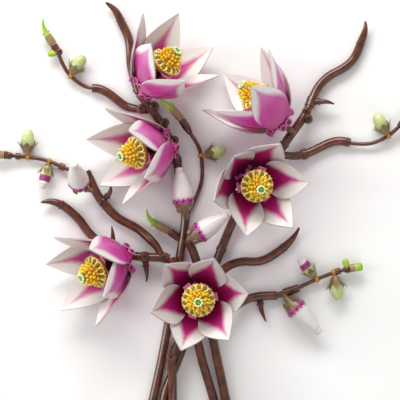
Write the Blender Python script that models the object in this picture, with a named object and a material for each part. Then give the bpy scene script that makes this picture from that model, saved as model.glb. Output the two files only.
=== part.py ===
"""Magnolia branch of moulded plastic pieces, lying on its back.

X runs to the right across the spray, Y from the plain stem ends to the branch
tips, and Z up from the surface that it lies on. Shapes are worked out in
millimetres and turned to metres as each mesh is made. Every route runs from
its free end to its root, and the root stops just short of what carries it.
"""

import math

import bpy
from mathutils import Matrix, Vector
from mathutils.bvhtree import BVHTree

MM = 0.001
GAP = 0.3  # between a root and what carries it

# Round stock
TUBE_R = 3.6
TWIG_R = 1.6
TUBE_SIDES = 8
TWIG_SIDES = 6
WHITE_BUD_SIDES = 10
TUBE_STEP = 8.0
TWIG_STEP = 8.0
SEAT_STEP = 0.05
SEAT_SPOTS = 12  # spots round each circle of a root that are held clear
SEAT_REACH = 12.0  # how far past its last point a root may look for its carrier

# Heights of the axes of the two layers of tubes: on the surface, and across those
FLOOR = TUBE_R
LAYER_GAP = 0.4
ACROSS = FLOOR + 2 * TUBE_R + LAYER_GAP

# Blossom: three outer and three inner petals, each whorl on its own hub
PETAL_REACH = 39.7
PETAL_RISE = 48.0
PETAL_CURL = 1.75
PETAL_HALF_WIDTH = 15.6
PETAL_THICK = 1.4
PETAL_TROUGH = 3.4
TROUGH_POWER = 1.4
TROUGH_START = 0.3  # share of the petal by which its trough is whole
LEAF_SKEW = 0.9  # moves the widest part; below 1 towards the root
LEAF_FULLNESS = 0.8
PETAL_ROWS = 5
PETAL_COLUMNS = 4
HUB_R = 9.0
HUB_HALF_SIDE = 3.6
WHORL_LIFT = 3.8  # how far the inner whorl stands above the outer one
WHORL_INSET = 2.0  # and how far it is drawn in
BOSS_R = 5.6  # foot of the inner whorl on the outer hub
BOSS_TAPER = 0.4
NECK_DROP = 2.2  # from the hub down to the head of the stalk
STALK_R = 2.6
CENTRE_SIDES = 12
SMOOTH_DEGREES = 40  # edges sharper than this are shaded as edges
STAMEN_PROFILE = [
    (4.0, 4.8), (4.2, 19.0), (6.0, 22.8), (11.0, 26.0), (13.3, 29.3), (12.6, 33.3),
    (9.0, 38.8), (3.2, 41.9), (2.2, 42.5), (1.8, 45.1),
]

# Outlines of the buds: how far from tip to base, and the radius there
WHITE_BUD = [
    (0.0, 2.4), (0.05, 3.2), (0.12, 3.3), (0.35, 5.8), (0.62, 8.2),
    (0.74, 8.4), (0.82, 7.9), (0.9, 6.4), (1.0, 3.6),
]
GREEN_BUD = [
    (0.0, 0.8), (0.1, 2.6), (0.25, 4.3), (0.4, 5.0), (0.56, 4.8), (0.68, 3.6), (0.77, 1.6),
]
OPENING_BUD = [
    (0.0, 1.0), (0.12, 1.8), (0.2, 2.6), (0.36, 3.6), (0.48, 4.6),
    (0.62, 5.0), (0.74, 3.6), (0.82, 1.6),
]

COLOURS = {
    "brown_abs": ((0.105, 0.023, 0.009), 0.28),
    "petal_print": ((0.72, 0.30, 0.52), 0.32),
    "yellow_abs": ((0.90, 0.50, 0.02), 0.35),
    "white_abs": ((0.85, 0.84, 0.81), 0.30),
    "green_abs": ((0.55, 0.62, 0.24), 0.32),
    "lime_abs": ((0.42, 0.62, 0.05), 0.32),
}

# Round pieces: name, colour, what carries the root, then (x, y, z[, radius])
STEMS = [
    ("stem_long_left", None, [
        (-49, 86, 9), (-39, 73, 8.5), (-27, 55, 7.5), (-20, 38, 6), (-18, 27, 5), (-14, 8, 4),
        (-11, -10, FLOOR), (-13, -30, FLOOR), (-17, -48, FLOOR), (-25, -98, FLOOR),
        (-32, -135, FLOOR), (-37, -156, FLOOR), (-42, -180, FLOOR),
    ]),
    ("stem_long_right", None, [
        (66, 42, 14), (55, 26, 12), (43, 10, 9.5), (27, -13, 6), (15, -46, FLOOR),
        (2, -76, FLOOR), (-12, -113, FLOOR), (-18, -130, FLOOR), (-26, -148, FLOOR),
        (-30, -162, FLOOR), (-31, -180, FLOOR),
    ]),
    ("stem_inner_left", None, [
        (-24, -47, ACROSS), (-19, -56, ACROSS), (-14, -72, ACROSS), (-7, -95, ACROSS),
        (-3, -108, ACROSS), (1, -127, 8), (6, -144, 5), (10, -157, 3.8), (16, -180, FLOOR),
    ]),
    ("stem_inner_right", None, [
        (-10, -31, ACROSS), (-5, -42, ACROSS), (-2, -52, ACROSS), (3, -76, ACROSS),
        (6, -90, ACROSS), (10, -110, 9), (13, -124, 7), (16, -138, 5), (19, -152, 3.8),
        (25, -180, FLOOR),
    ]),
    ("stem_clip", None, [
        (-22, -180, FLOOR), (-22, -168, 5), (-22, -158, 8.5), (-22, -148, 11),
        (-22.5, -138, ACROSS), (-24, -124, 12.5), (-19, -112, 16), (-11, -98, 19),
        (-5, -86, 19.6), (-1, -79, 19.6),
    ]),
]

BRANCHES = [
    ("branch_top_left", "stem_long_left", [
        (-76, 159, 7, 0.8), (-73, 157, 5.5, 1.8), (-68, 153, 4.4, 2.8), (-65, 147, FLOOR, 3.3),
        (-62, 140, FLOOR), (-57, 131, FLOOR), (-56, 119, FLOOR), (-56, 109, 4.5), (-53, 97, 7),
        (-50, 88, 8.8),
    ]),
    ("branch_left_arm", "stem_long_left", [
        (-87, 90, FLOOR), (-82, 90, FLOOR), (-77, 88, FLOOR), (-72, 85, FLOOR),
        (-66, 80, FLOOR), (-61, 76, FLOOR), (-56, 74, 4.2), (-50, 73, 6, 3.2), (-40, 72, 8, 2.6),
    ]),
    ("branch_low_left", "stem_inner_left", [
        (-128, -2, 8, 0.8), (-124, -1, 6.5, 1.8), (-119, -1, 5, 2.8), (-113, -3, 4, 3.3),
        (-108, -6, FLOOR), (-102, -11, FLOOR), (-96, -17, FLOOR), (-91, -25, FLOOR),
        (-85, -31, FLOOR), (-79, -36, 4.5), (-70, -41, 6), (-57, -45, 8), (-44, -46, 10),
        (-34, -46, 11), (-22, -48, ACROSS),
    ]),
    ("branch_left_bow", "branch_low_left", [
        (-92, 23, 4.5), (-88, 16, 4), (-84, 6, FLOOR), (-78, -3, FLOOR), (-72, -9, FLOOR),
        (-66, -15, FLOOR), (-58, -19, 4), (-50, -23, 5.5), (-44, -28, 7.5), (-38, -34, 10),
        (-34, -38, 11, 3.0), (-31, -46, 11.2, 2.8),
    ]),
    ("branch_top_right", "stem_long_right", [
        (133, 144, 7, 0.8), (133.5, 139, 5.5, 1.8), (132.5, 134, 4.5, 2.8), (130, 128, FLOOR, 3.3),
        (128, 122, FLOOR), (125, 115, FLOOR), (120, 109, FLOOR), (112, 104, FLOOR),
        (105, 101, FLOOR), (98, 95, FLOOR), (94, 89, 4.5), (91, 83, 6), (88, 75, 9),
        (83, 66, 12), (77, 58, 14), (71, 50, 14.6), (66, 42, 14),
    ]),
    ("branch_right_arm", "stem_long_right", [
        (121, 46, 4), (114, 48, FLOOR), (106, 47, FLOOR), (98, 43, FLOOR), (90, 39, FLOOR),
        (82, 36, 5), (75, 35, 9, 3.2), (62, 37, 13.4, 2.8),
    ]),
    ("branch_low_right", "stem_clip", [
        (80, -22, 6, 0.8), (77, -28, 5, 1.8), (73, -33, 4.2, 2.8), (69, -37, FLOOR, 3.3),
        (64, -41, FLOOR), (58, -45, FLOOR), (51, -49, FLOOR), (43, -50, 4), (36, -49, 5.5),
        (26, -51, 9), (18, -56, 14), (9, -66, 18.6, 3.2), (-1, -79, 19.6, 2.8),
    ]),
    ("branch_front_right", "stem_clip", [
        (62, -77, FLOOR), (57, -77, FLOOR), (48, -77.5, FLOOR), (39, -79, 4.5), (32, -83, 7),
        (26, -87, 10.5), (18, -89, 15), (11, -88, 18.8, 3.2), (-4, -84, 19.8, 2.8),
    ]),
]

TWIGS = [
    ("twig_top_left", "branch_left_arm", [
        (-114, 118, 6), (-111, 110, 5.5), (-106, 101, 5), (-100, 96, 4.5), (-93, 91, 3.8),
        (-86, 90, FLOOR),
    ]),
    ("twig_left", "branch_left_bow", [
        (-153, 36, 5), (-146, 35, 4.5), (-132, 34, 4), (-124, 32, 3.8), (-118, 30, 3.8),
        (-112, 27, 4), (-105, 24, 4.2), (-90, 20, 4.4),
    ]),
    ("twig_centre", "stem_long_left", [
        (-8, 54, 10), (-4, 48, 8), (-1, 43, 6), (1, 36, 5), (2, 27, 4.5), (2, 17, 4),
        (0, 10, 3.8), (-3, 2, 3.6), (-11, -14, 3.6),
    ]),
    ("twig_right", "branch_right_arm", [
        (160, 59, 7), (156, 55, 6.5), (151, 51, 6), (143, 47, 5.2), (136, 45, 4.6),
        (128, 45, 4.2), (120, 46, 4),
    ]),
    ("twig_low_right", "branch_front_right", [
        (117, -56, 6), (108, -58, 5.5), (101, -61, 5), (91, -65, 4.5), (81, -70, 4),
        (71, -74, 3.6, 2.4), (60, -77.5, 3.6, 2.4),
    ]),
]

# Lime shoots: spike, collar, barrel, and the end that sits on its twig
SHOOTS = [
    ("shoot_top_left", "twig_top_left", [
        (-126, 146, 9, 0.6), (-125, 137, 8, 1.5), (-124, 134.5, 7.6, 3.4), (-118, 125, 6.6, 3.3),
        (-116, 121.5, 6.2, 3.0), (-113.5, 117, 6, 2.6),
    ]),
    ("shoot_centre", "twig_centre", [
        (-33, 82.5, 16, 0.6), (-26, 77, 14.4, 1.6), (-24, 75, 14, 3.4), (-15, 65, 12, 3.3),
        (-12, 60, 11, 3.0), (-7.5, 53, 9.8, 2.6),
    ]),
    ("shoot_low_centre", "stem_long_left", [
        (-43, -7, 8, 0.6), (-40, -16, 7, 1.6), (-37.5, -18, 6.6, 3.3), (-25, -25, 4.6, 3.3),
        (-19, -29.5, 3.8, 3.0), (-12, -34, 3.6, 2.8),
    ]),
    ("shoot_low_right", "twig_low_right", [
        (131, -53.5, 8, 2.4), (128.5, -53.8, 7.6, 3.2), (121, -55, 6.6, 3.2), (115, -56.6, 5.9, 2.4),
    ]),
    ("shoot_far_left", "twig_left", [
        (-176, 42, 10, 0.6), (-170, 38.5, 9, 1.5), (-168, 37.5, 8.6, 3.4), (-158, 36.2, 6.4, 3.2),
        (-151, 35.8, 4.9, 2.6),
    ]),
    ("shoot_far_right", "twig_right", [
        (180, 80, 11, 0.6), (175.5, 74, 10, 1.5), (174, 72, 9.6, 3.4), (165, 63.5, 7.9, 3.2),
        (158.5, 57.5, 6.8, 2.6),
    ]),
]

THORNS = [
    ("thorn_top_right", "branch_top_right", [
        (108, 77, 10, 0.6), (103.5, 79, 10, 1.4), (97, 79.3, 9.6, 2.3), (88, 78.5, 8.4, 2.5),
    ]),
    ("thorn_left_bow", "branch_left_bow", [
        (-72, 13, 7, 0.6), (-71.5, 8, 6.2, 1.5), (-73.5, 3.5, 4.6, 2.4), (-80, -1, 3.6, 2.5),
    ]),
    ("thorn_low_left_upper", "branch_low_left", [
        (-71, -21, 11, 0.6), (-70, -27, 10, 1.5), (-70, -33, 8, 2.3), (-70, -42, 6, 2.5),
    ]),
    ("thorn_low_left_lower", "branch_low_left", [
        (-43, -66, 6, 0.6), (-42.5, -60, 7, 1.5), (-43.5, -53.5, 8.6, 2.3), (-44, -45, 10, 2.5),
    ]),
    ("thorn_front_right", "branch_front_right", [
        (53, -98, 5, 0.6), (50.5, -92, 4.4, 1.6), (48.6, -85.5, 3.8, 2.3), (48, -76, 3.6, 2.5),
    ]),
]

# Buds: name, carrier, outline, tip, base, then the neck down to the carrier
WHITE_BUDS = [
    ("white_bud_left", "branch_left_bow", (-100, 29, 46), (-96, 10, 14),
     [(-93, 9, 9.5, 2.2), (-83, 7, 4, 2.0)]),
    ("white_bud_centre_upper", "stem_long_left", (-17, 26, 19.5), (-12, -9, 17.2),
     [(-11.5, -13, 13.5, 2.2), (-11.5, -16, 5, 2.0)]),
    ("white_bud_centre_lower", "stem_inner_right", (23, -12, 28), (-7, -30, 25),
     [(-9, -31.4, 21.5, 2.2), (-8.6, -34, 12, 2.0)]),
    ("white_bud_low_right", "twig_low_right", (97, -107, 9.6), (71, -81, 9.4),
     [(69, -78.6, 8.4, 2.2), (67, -75.4, 4, 2.0)]),
]
GREEN_BUDS = [
    ("green_bud_top_left", "twig_top_left", GREEN_BUD, (-93, 116, 9), (-106, 99, 4.8)),
    ("green_bud_left", "twig_left", GREEN_BUD, (-138, 57, 8), (-139.6, 33, 4.2)),
    ("green_bud_centre", "twig_centre", GREEN_BUD, (21, 40, 8), (0, 35.6, 5)),
    ("green_bud_right", "twig_right", GREEN_BUD, (141, 69, 9), (152.6, 50, 6)),
    ("green_bud_low_right", "twig_low_right", GREEN_BUD, (111.5, -81, 8), (107.8, -57, 5.4)),
    ("opening_bud_left", "twig_left", OPENING_BUD, (-127, 9, 8), (-121, 33, 3.6)),
    ("opening_bud_low_right", "twig_low_right", OPENING_BUD, (79, -46, 9), (95, -65, 4.6)),
]

# Blossoms: base, lean from upright, bearing of the lean, turn of the petals about
# the axis (degrees), carrier, and the stalk's way down to it
BLOSSOMS = [
    ("flower_top_left", (-43.6, 91.8, 20), 58.1, 46.4, -26.8, "stem_long_left",
     [(-46, 88, 15.5), (-46.5, 83, 8)]),
    ("flower_mid_left", (-27.6, 43.6, 17), 57.1, 194.3, 147, "stem_long_left",
     [(-24.5, 43.8, 13.5), (-21.5, 42.5, 5)]),
    ("flower_low_left", (-61.7, -47.3, 17), 55.6, 204.2, 207.3, "branch_low_left",
     [(-58.8, -46, 13.5), (-57, -45, 7)]),
    ("flower_top_right", (63.6, 62.5, 29), 74.7, 136, 184.5, "branch_top_right",
     [(69, 58.2, 27), (73.5, 55, 22.5), (74.5, 54.4, 14)]),
    ("flower_centre", (38.8, 17, 22), 17.2, -43.4, 113.5, "stem_long_right",
     [(40, 15, 16.6), (42, 10.5, 10)]),
    ("flower_front", (-0.8, -76.5, 30.5), 5.2, -98.8, 109.2, "stem_clip",
     [(-1.2, -78.4, 27), (-2.6, -82, 20)]),
]

materials = {}
surfaces = {}
pieces = []


def make_material(name, colour, roughness):
    material = bpy.data.materials.new(name)
    material.use_nodes = True
    shader = material.node_tree.nodes["Principled BSDF"]
    shader.inputs["Base Color"].default_value = (*colour, 1.0)
    shader.inputs["Roughness"].default_value = roughness
    shader.inputs["Metallic"].default_value = 0.0
    return material


def add_piece(name, points, faces, origin, colour):
    """One object from points in millimetres, with its own origin at its root."""
    mesh = bpy.data.meshes.new(name)
    mesh.from_pydata([(point - origin) * MM for point in points], [], faces)
    mesh.materials.append(materials[colour])
    mesh.shade_smooth()
    mesh.set_sharp_from_angle(angle=math.radians(SMOOTH_DEGREES))
    piece = bpy.data.objects.new(name, mesh)
    piece.location = origin * MM
    bpy.context.scene.collection.objects.link(piece)
    pieces.append(piece)
    surfaces[name] = BVHTree.FromPolygons(points, faces)


def with_radius(route, radius):
    """Each point as (Vector, radius)."""
    return [(Vector(point[:3]), point[3] if len(point) > 3 else radius) for point in route]


def seat(route, carrier):
    """Slides the last point along the last stretch to GAP from the carrier's surface."""
    (start, _), (aim, radius) = route[-2:]
    along = (aim - start).normalized()
    turn = along.to_track_quat("Z", "Y")
    spots = [Vector((0, 0, 0))]
    for share, back in ((0.5, 0), (1.0, 0), (1.0, 1.5), (1.0, 3.0)):
        for step in range(SEAT_SPOTS):
            angle = step * math.tau / SEAT_SPOTS
            rim = Vector((math.cos(angle), math.sin(angle), 0)) * radius * share
            spots.append(turn @ rim - along * back)
    travel = 0.0
    while min(surfaces[carrier].find_nearest(start + along * travel + spot)[3] for spot in spots) > GAP:
        travel += SEAT_STEP
        if travel > (aim - start).length + SEAT_REACH:
            raise RuntimeError(f"a root misses {carrier} near {tuple(aim)}")
    return route[:-1] + [(start + along * travel, radius)]


def spline(route, step):
    """Even stations of (place, radius, direction) along a clamped cubic B-spline of the route."""
    knots = [route[0]] * 2 + route + [route[-1]] * 2
    fine = []
    for first in range(len(knots) - 3):
        for part in range(8):
            t = part / 8
            weights = (
                (1 - t) ** 3 / 6,
                (3 * t**3 - 6 * t**2 + 4) / 6,
                (-3 * t**3 + 3 * t**2 + 3 * t + 1) / 6,
                t**3 / 6,
            )
            near = list(zip(weights, knots[first:first + 4]))
            place = sum((weight * knot[0] for weight, knot in near), Vector())
            fine.append((place, sum(weight * knot[1] for weight, knot in near)))
    fine.append(route[-1])
    lengths = [0.0]
    for one, two in zip(fine, fine[1:]):
        lengths.append(lengths[-1] + (two[0] - one[0]).length)
    count = max(3, round(lengths[-1] / step))
    even = []
    place = 0
    for index in range(count + 1):
        target = lengths[-1] * index / count
        while place < len(fine) - 2 and lengths[place + 1] < target:
            place += 1
        span = lengths[place + 1] - lengths[place]
        share = min(1.0, (target - lengths[place]) / span) if span > 1e-9 else 0.0
        one, two = fine[place], fine[place + 1]
        along = (fine[min(place + 2, len(fine) - 1)][0] - fine[max(place - 1, 0)][0]).normalized()
        even.append((one[0].lerp(two[0], share), one[1] + (two[1] - one[1]) * share, along))
    return even


def facing_on(stations):
    """The same stations with the direction of the way at each."""
    places = [station[0] for station in stations]
    faced = []
    for index, (place, radius) in enumerate(stations):
        behind = places[max(index - 1, 0)]
        ahead = places[min(index + 1, len(places) - 1)]
        faced.append((place, radius, (ahead - behind).normalized()))
    return faced


def rings_along(stations, sides):
    """Rings of points square to the way through the stations."""
    across = Vector((0, 0, 1))
    points = []
    for place, radius, along in stations:
        across = (across - along * across.dot(along)).normalized()
        side = along.cross(across)
        for corner in range(sides):
            angle = corner * math.tau / sides
            points.append(place + (across * math.cos(angle) + side * math.sin(angle)) * radius)
    return points


def tube_faces(ring_count, sides, first=0):
    """Quads between rings that follow each other, without the two ends."""
    faces = []
    for ring in range(ring_count - 1):
        for corner in range(sides):
            near = first + ring * sides
            after = (corner + 1) % sides
            faces.append((near + corner, near + after, near + sides + after, near + sides + corner))
    return faces


def add_round(name, colour, stations, sides):
    """A closed round piece through stations of (place, radius, direction)."""
    points = rings_along(stations, sides)
    last = (len(stations) - 1) * sides
    faces = tube_faces(len(stations), sides)
    faces.append(tuple(range(sides))[::-1])
    faces.append(tuple(range(last, last + sides)))
    add_piece(name, points, faces, stations[-1][0], colour)


def add_tube(name, carrier, colour, route, radius, sides, step):
    route = with_radius(route, radius)
    if carrier:
        route = seat(route, carrier)
    add_round(name, colour, spline(route, step), sides)


def add_shoot(name, carrier, route):
    add_round(name, "lime_abs", facing_on(seat(with_radius(route, TWIG_R), carrier)), TUBE_SIDES)


def add_white_bud(name, carrier, tip, base, neck):
    tip, base = Vector(tip), Vector(base)
    stations = [(tip.lerp(base, share), radius) for share, radius in WHITE_BUD]
    stations = seat(stations + with_radius(neck, TWIG_R), carrier)
    add_round(name, "white_abs", facing_on(stations), WHITE_BUD_SIDES)


def add_green_bud(name, carrier, outline, tip, aim):
    tip, aim = Vector(tip), Vector(aim)
    stations = [(tip.lerp(aim, share), radius) for share, radius in outline]
    stations = seat(stations + [(aim, TWIG_R)], carrier)
    add_round(name, "green_abs", facing_on(stations), TUBE_SIDES)


def petal_half_width(share):
    """Leaf outline: narrow root, widest past the middle, pointed tip."""
    return max(HUB_HALF_SIDE, PETAL_HALF_WIDTH * math.sin(math.pi * share**LEAF_SKEW) ** LEAF_FULLNESS)


def petal_point(share, across, side, inset):
    """A point of the petal along +X: share 0 root to 1 tip, across -1 to 1, side +-1."""
    radius = HUB_R - inset + (PETAL_REACH - HUB_R) * share
    height = PETAL_RISE * share**PETAL_CURL
    slope = PETAL_RISE * PETAL_CURL * share ** (PETAL_CURL - 1) / (PETAL_REACH - HUB_R)
    inward = Vector((-slope, 0, 1)).normalized()
    width = 0.0 if share == 1 else petal_half_width(share)
    depth = PETAL_TROUGH * (width / PETAL_HALF_WIDTH) * min(1, share / TROUGH_START)
    trough = depth * abs(across) ** TROUGH_POWER
    spine = Vector((radius, across * width, height))
    return spine + inward * (trough + side * PETAL_THICK / 2)


def petal_shell(turn, inset, first):
    """Points and faces of one petal, open at its root; its root rows come first."""
    columns = PETAL_COLUMNS + 1
    across = [2 * column / PETAL_COLUMNS - 1 for column in range(columns)]
    rotation = Matrix.Rotation(turn, 3, "Z")
    points = []
    for side in (1, -1):
        for row in range(PETAL_ROWS):
            points += [rotation @ petal_point(row / PETAL_ROWS, spot, side, inset) for spot in across]
        points.append(rotation @ petal_point(1, 0, side, inset))
    under = PETAL_ROWS * columns + 1
    tip = PETAL_ROWS * columns
    faces = []
    for row in range(PETAL_ROWS - 1):
        for column in range(PETAL_COLUMNS):
            corner = row * columns + column
            upper = (corner, corner + columns, corner + columns + 1, corner + 1)
            faces.append(upper)
            faces.append(tuple(under + index for index in upper[::-1]))
    last = (PETAL_ROWS - 1) * columns
    for column in range(PETAL_COLUMNS):
        faces.append((last + column, tip, last + column + 1))
        faces.append((under + last + column + 1, under + tip, under + last + column))
    for edge in (0, PETAL_COLUMNS):
        rim = [row * columns + edge for row in range(PETAL_ROWS)] + [tip]
        for near, far in zip(rim, rim[1:]):
            wall = (near, under + near, under + far, far)
            faces.append(wall if edge == 0 else wall[::-1])
    return points, [tuple(first + index for index in face) for face in faces], under


def add_whorl(name, frame, turn, inset, foot):
    """Three petals on one hub, with a round foot under it through (place, radius)."""
    columns = PETAL_COLUMNS + 1
    points, faces, top_rim, bottom_rim = [], [], [], []
    for third in range(3):
        angle = turn + third * math.tau / 3
        first = len(points)
        shell, shell_faces, under = petal_shell(angle, inset, first)
        points += shell
        faces += shell_faces
        top_rim += range(first, first + columns)
        bottom_rim += range(first + under, first + under + columns)
    sides = len(top_rim)
    faces.append(tuple(top_rim))
    for third in range(3):
        one = third * columns + PETAL_COLUMNS
        two = (one + 1) % sides
        faces.append((top_rim[two], top_rim[one], bottom_rim[one], bottom_rim[two]))
    bearings = [math.atan2(points[index].y, points[index].x) for index in bottom_rim]
    points = [frame @ point for point in points]
    base = frame @ Vector((0, 0, 0))
    across = (frame @ Vector((1, 0, 0)) - base).normalized()
    ring = bottom_rim
    stations = [(base, HUB_R - inset)] + foot
    for index in range(1, len(stations)):
        place, radius = stations[index]
        ahead = stations[min(index + 1, len(stations) - 1)][0]
        along = (stations[index - 1][0] - ahead).normalized()
        across = (across - along * across.dot(along)).normalized()
        side = along.cross(across)
        lower = range(len(points), len(points) + sides)
        for bearing in bearings:
            points.append(place + (across * math.cos(bearing) + side * math.sin(bearing)) * radius)
        for corner in range(sides):
            after = (corner + 1) % sides
            faces.append((ring[after], ring[corner], lower[corner], lower[after]))
        ring = lower
    faces.append(tuple(ring)[::-1])
    add_piece(name, points, faces, base, "petal_print")


def add_centre(name, frame):
    """Cone of stamens with the pistil through its top, turned about the axis."""
    points = []
    for radius, height in STAMEN_PROFILE:
        for corner in range(CENTRE_SIDES):
            angle = corner * math.tau / CENTRE_SIDES
            points.append(frame @ Vector((radius * math.cos(angle), radius * math.sin(angle), height)))
    last = (len(STAMEN_PROFILE) - 1) * CENTRE_SIDES
    faces = tube_faces(len(STAMEN_PROFILE), CENTRE_SIDES)
    faces.append(tuple(range(CENTRE_SIDES))[::-1])
    faces.append(tuple(range(last, last + CENTRE_SIDES)))
    add_piece(name, points, faces, frame @ Vector((0, 0, STAMEN_PROFILE[0][1])), "yellow_abs")


def add_blossom(name, base, lean, bearing, turn, carrier, way_down):
    frame = (
        Matrix.Translation(Vector(base))
        @ Matrix.Rotation(math.radians(bearing), 4, "Z")
        @ Matrix.Rotation(math.radians(lean), 4, "Y")
    )
    turn = math.radians(turn)
    half = PETAL_THICK / 2
    neck = [(frame @ Vector((0, 0, -NECK_DROP)), STALK_R)]
    stalk = [(Vector(place), STALK_R) for place in way_down]
    add_whorl(f"{name}_outer_petals", frame, turn, 0.0, seat(neck + stalk, carrier))
    lifted = frame @ Matrix.Translation(Vector((0, 0, WHORL_LIFT)))
    boss_top = (frame @ Vector((0, 0, WHORL_LIFT - half - BOSS_TAPER)), BOSS_R)
    boss_end = (frame @ Vector((0, 0, half + GAP)), BOSS_R)
    add_whorl(f"{name}_inner_petals", lifted, turn + math.pi / 3, WHORL_INSET, [boss_top, boss_end])
    add_centre(f"{name}_stamens", frame)


def main():
    for leftover in list(bpy.data.objects):
        bpy.data.objects.remove(leftover, do_unlink=True)
    for name, (colour, roughness) in COLOURS.items():
        materials[name] = make_material(name, colour, roughness)
    for name, carrier, route in STEMS + BRANCHES:
        add_tube(name, carrier, "brown_abs", route, TUBE_R, TUBE_SIDES, TUBE_STEP)
    for name, carrier, route in TWIGS:
        add_tube(name, carrier, "brown_abs", route, TWIG_R, TWIG_SIDES, TWIG_STEP)
    for name, carrier, route in THORNS:
        add_tube(name, carrier, "brown_abs", route, TWIG_R, TWIG_SIDES, TWIG_STEP / 2)
    for shoot in SHOOTS:
        add_shoot(*shoot)
    for bud in WHITE_BUDS:
        add_white_bud(*bud)
    for bud in GREEN_BUDS:
        add_green_bud(*bud)
    for blossom in BLOSSOMS:
        add_blossom(*blossom)
    settle()


def settle():
    """Hangs every piece on one empty, which puts the origin under the middle of the box."""
    bpy.context.view_layer.update()
    corners = [piece.matrix_world @ vertex.co for piece in pieces for vertex in piece.data.vertices]
    low = [min(corner[axis] for corner in corners) for axis in range(3)]
    high = [max(corner[axis] for corner in corners) for axis in range(3)]
    root = bpy.data.objects.new("branch_origin", None)
    bpy.context.scene.collection.objects.link(root)
    root.location = (-(low[0] + high[0]) / 2, -(low[1] + high[1]) / 2, -low[2])
    for piece in pieces:
        piece.parent = root


main()
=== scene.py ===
"""Magnolia spray in interlocking moulded plastic: blossoms, buds, shoots, twigs and stems.

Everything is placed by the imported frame, in metres. Routes of the bars are the
frame's own, in millimetres from the layout's zero, and LAYOUT_ZERO is where that
zero lies in the frame.
"""

import math

import bpy
import numpy as np
from mathutils import Matrix, Vector


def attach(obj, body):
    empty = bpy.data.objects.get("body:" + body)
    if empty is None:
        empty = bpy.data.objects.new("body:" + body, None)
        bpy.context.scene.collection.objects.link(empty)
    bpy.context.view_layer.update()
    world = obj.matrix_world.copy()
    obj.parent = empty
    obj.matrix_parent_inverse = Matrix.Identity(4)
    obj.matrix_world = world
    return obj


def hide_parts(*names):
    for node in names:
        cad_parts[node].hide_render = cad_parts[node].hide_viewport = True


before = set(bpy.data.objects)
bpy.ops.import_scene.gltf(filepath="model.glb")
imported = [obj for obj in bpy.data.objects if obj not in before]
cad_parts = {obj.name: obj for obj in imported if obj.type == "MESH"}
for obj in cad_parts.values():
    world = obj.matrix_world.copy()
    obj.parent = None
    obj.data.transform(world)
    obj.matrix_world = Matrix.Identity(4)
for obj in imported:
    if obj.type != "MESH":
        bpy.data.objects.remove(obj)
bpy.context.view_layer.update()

bl_info = {
    "name": "Magnolia Spray",
    "version": (1, 0, 0),
    "blender": (4, 5, 0),
    "location": "3D View > Sidebar > Magnolia",
    "description": "Builds the surfaces of a plastic magnolia spray around its frame",
    "category": "Object",
}

MM = 0.001
BODY = "root"

# Bars
TUBE_R = 3.6
TWIG_R = 1.6
FLOOR = TUBE_R
ACROSS = FLOOR + 2 * TUBE_R + 0.4
TUBE_SIDES = 28
TWIG_SIDES = 18
BUD_SIDES = 48
RING_SOFTNESS = 0.35
RING_BEVEL = 0.3
BUD_TEETH = 9
BUD_STUDS = 4
FINE_STEP = 1.6

# Lobes of the calyx
LOBE_ROWS = 6
LOBE_COLUMNS = 6
LOBE_SHOULDER = 0.35  # share of a lobe at which it starts to narrow
LOBE_THICKNESS = 0.55

# Blossom, the same outline as the frame's
PETAL_REACH = 39.7
PETAL_RISE = 48.0
PETAL_CURL = 1.75
PETAL_WIDEST = 0.58
PETAL_POINT = 0.05
HUB_R = 9.0
HUB_HALF_SIDE = 3.6
WHORL_LIFT = 3.8
WHORL_INSET = 2.0
STAMEN_MEAN_HEIGHT = 30.35  # mean height of the corners of a stamens node
# Feet of the petals: radius, offset to either side, and how far they dip outward
FOOT_R = 2.9
FOOT_SIDE = 3.2
FOOT_DROP = Vector((0, 0, 2.0))
# Whorls: name, lift along the axis, inset toward it, and turn around it
WHORLS = (("inner", WHORL_LIFT, WHORL_INSET, 0.0), ("outer", 0.0, 0.0, math.pi / 3))
PETAL_ROWS = 22
PETAL_COLUMNS = 14

# Pockets of the stamens' ring, and the outline of one: share of its length and radius
POCKETS = 14
POCKET = [
    (0.0, 0.35), (0.14, 0.85), (0.35, 1.15), (0.6, 1.25), (0.82, 1.0), (0.95, 0.6), (1.0, 0.3)]
# Tiers of fingers: how many, offset, radius and height of root and of tip, thickness
TIERS = [
    (15, 0.5, (4.6, 29.2), (9.9, 34.0), 1.25), (14, 0.1, (4.2, 31.4), (8.9, 37.2), 1.3),
    (12, 0.4, (3.4, 33.8), (7.5, 40.0), 1.3), (9, 0.8, (2.4, 36.0), (5.6, 42.4), 1.2),
]
# Outline of a finger: share of its length and of its thickness
FINGER = [(0.0, 0.9), (0.5, 1.0), (0.78, 0.92), (0.93, 0.66), (1.0, 0.3)]

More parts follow.
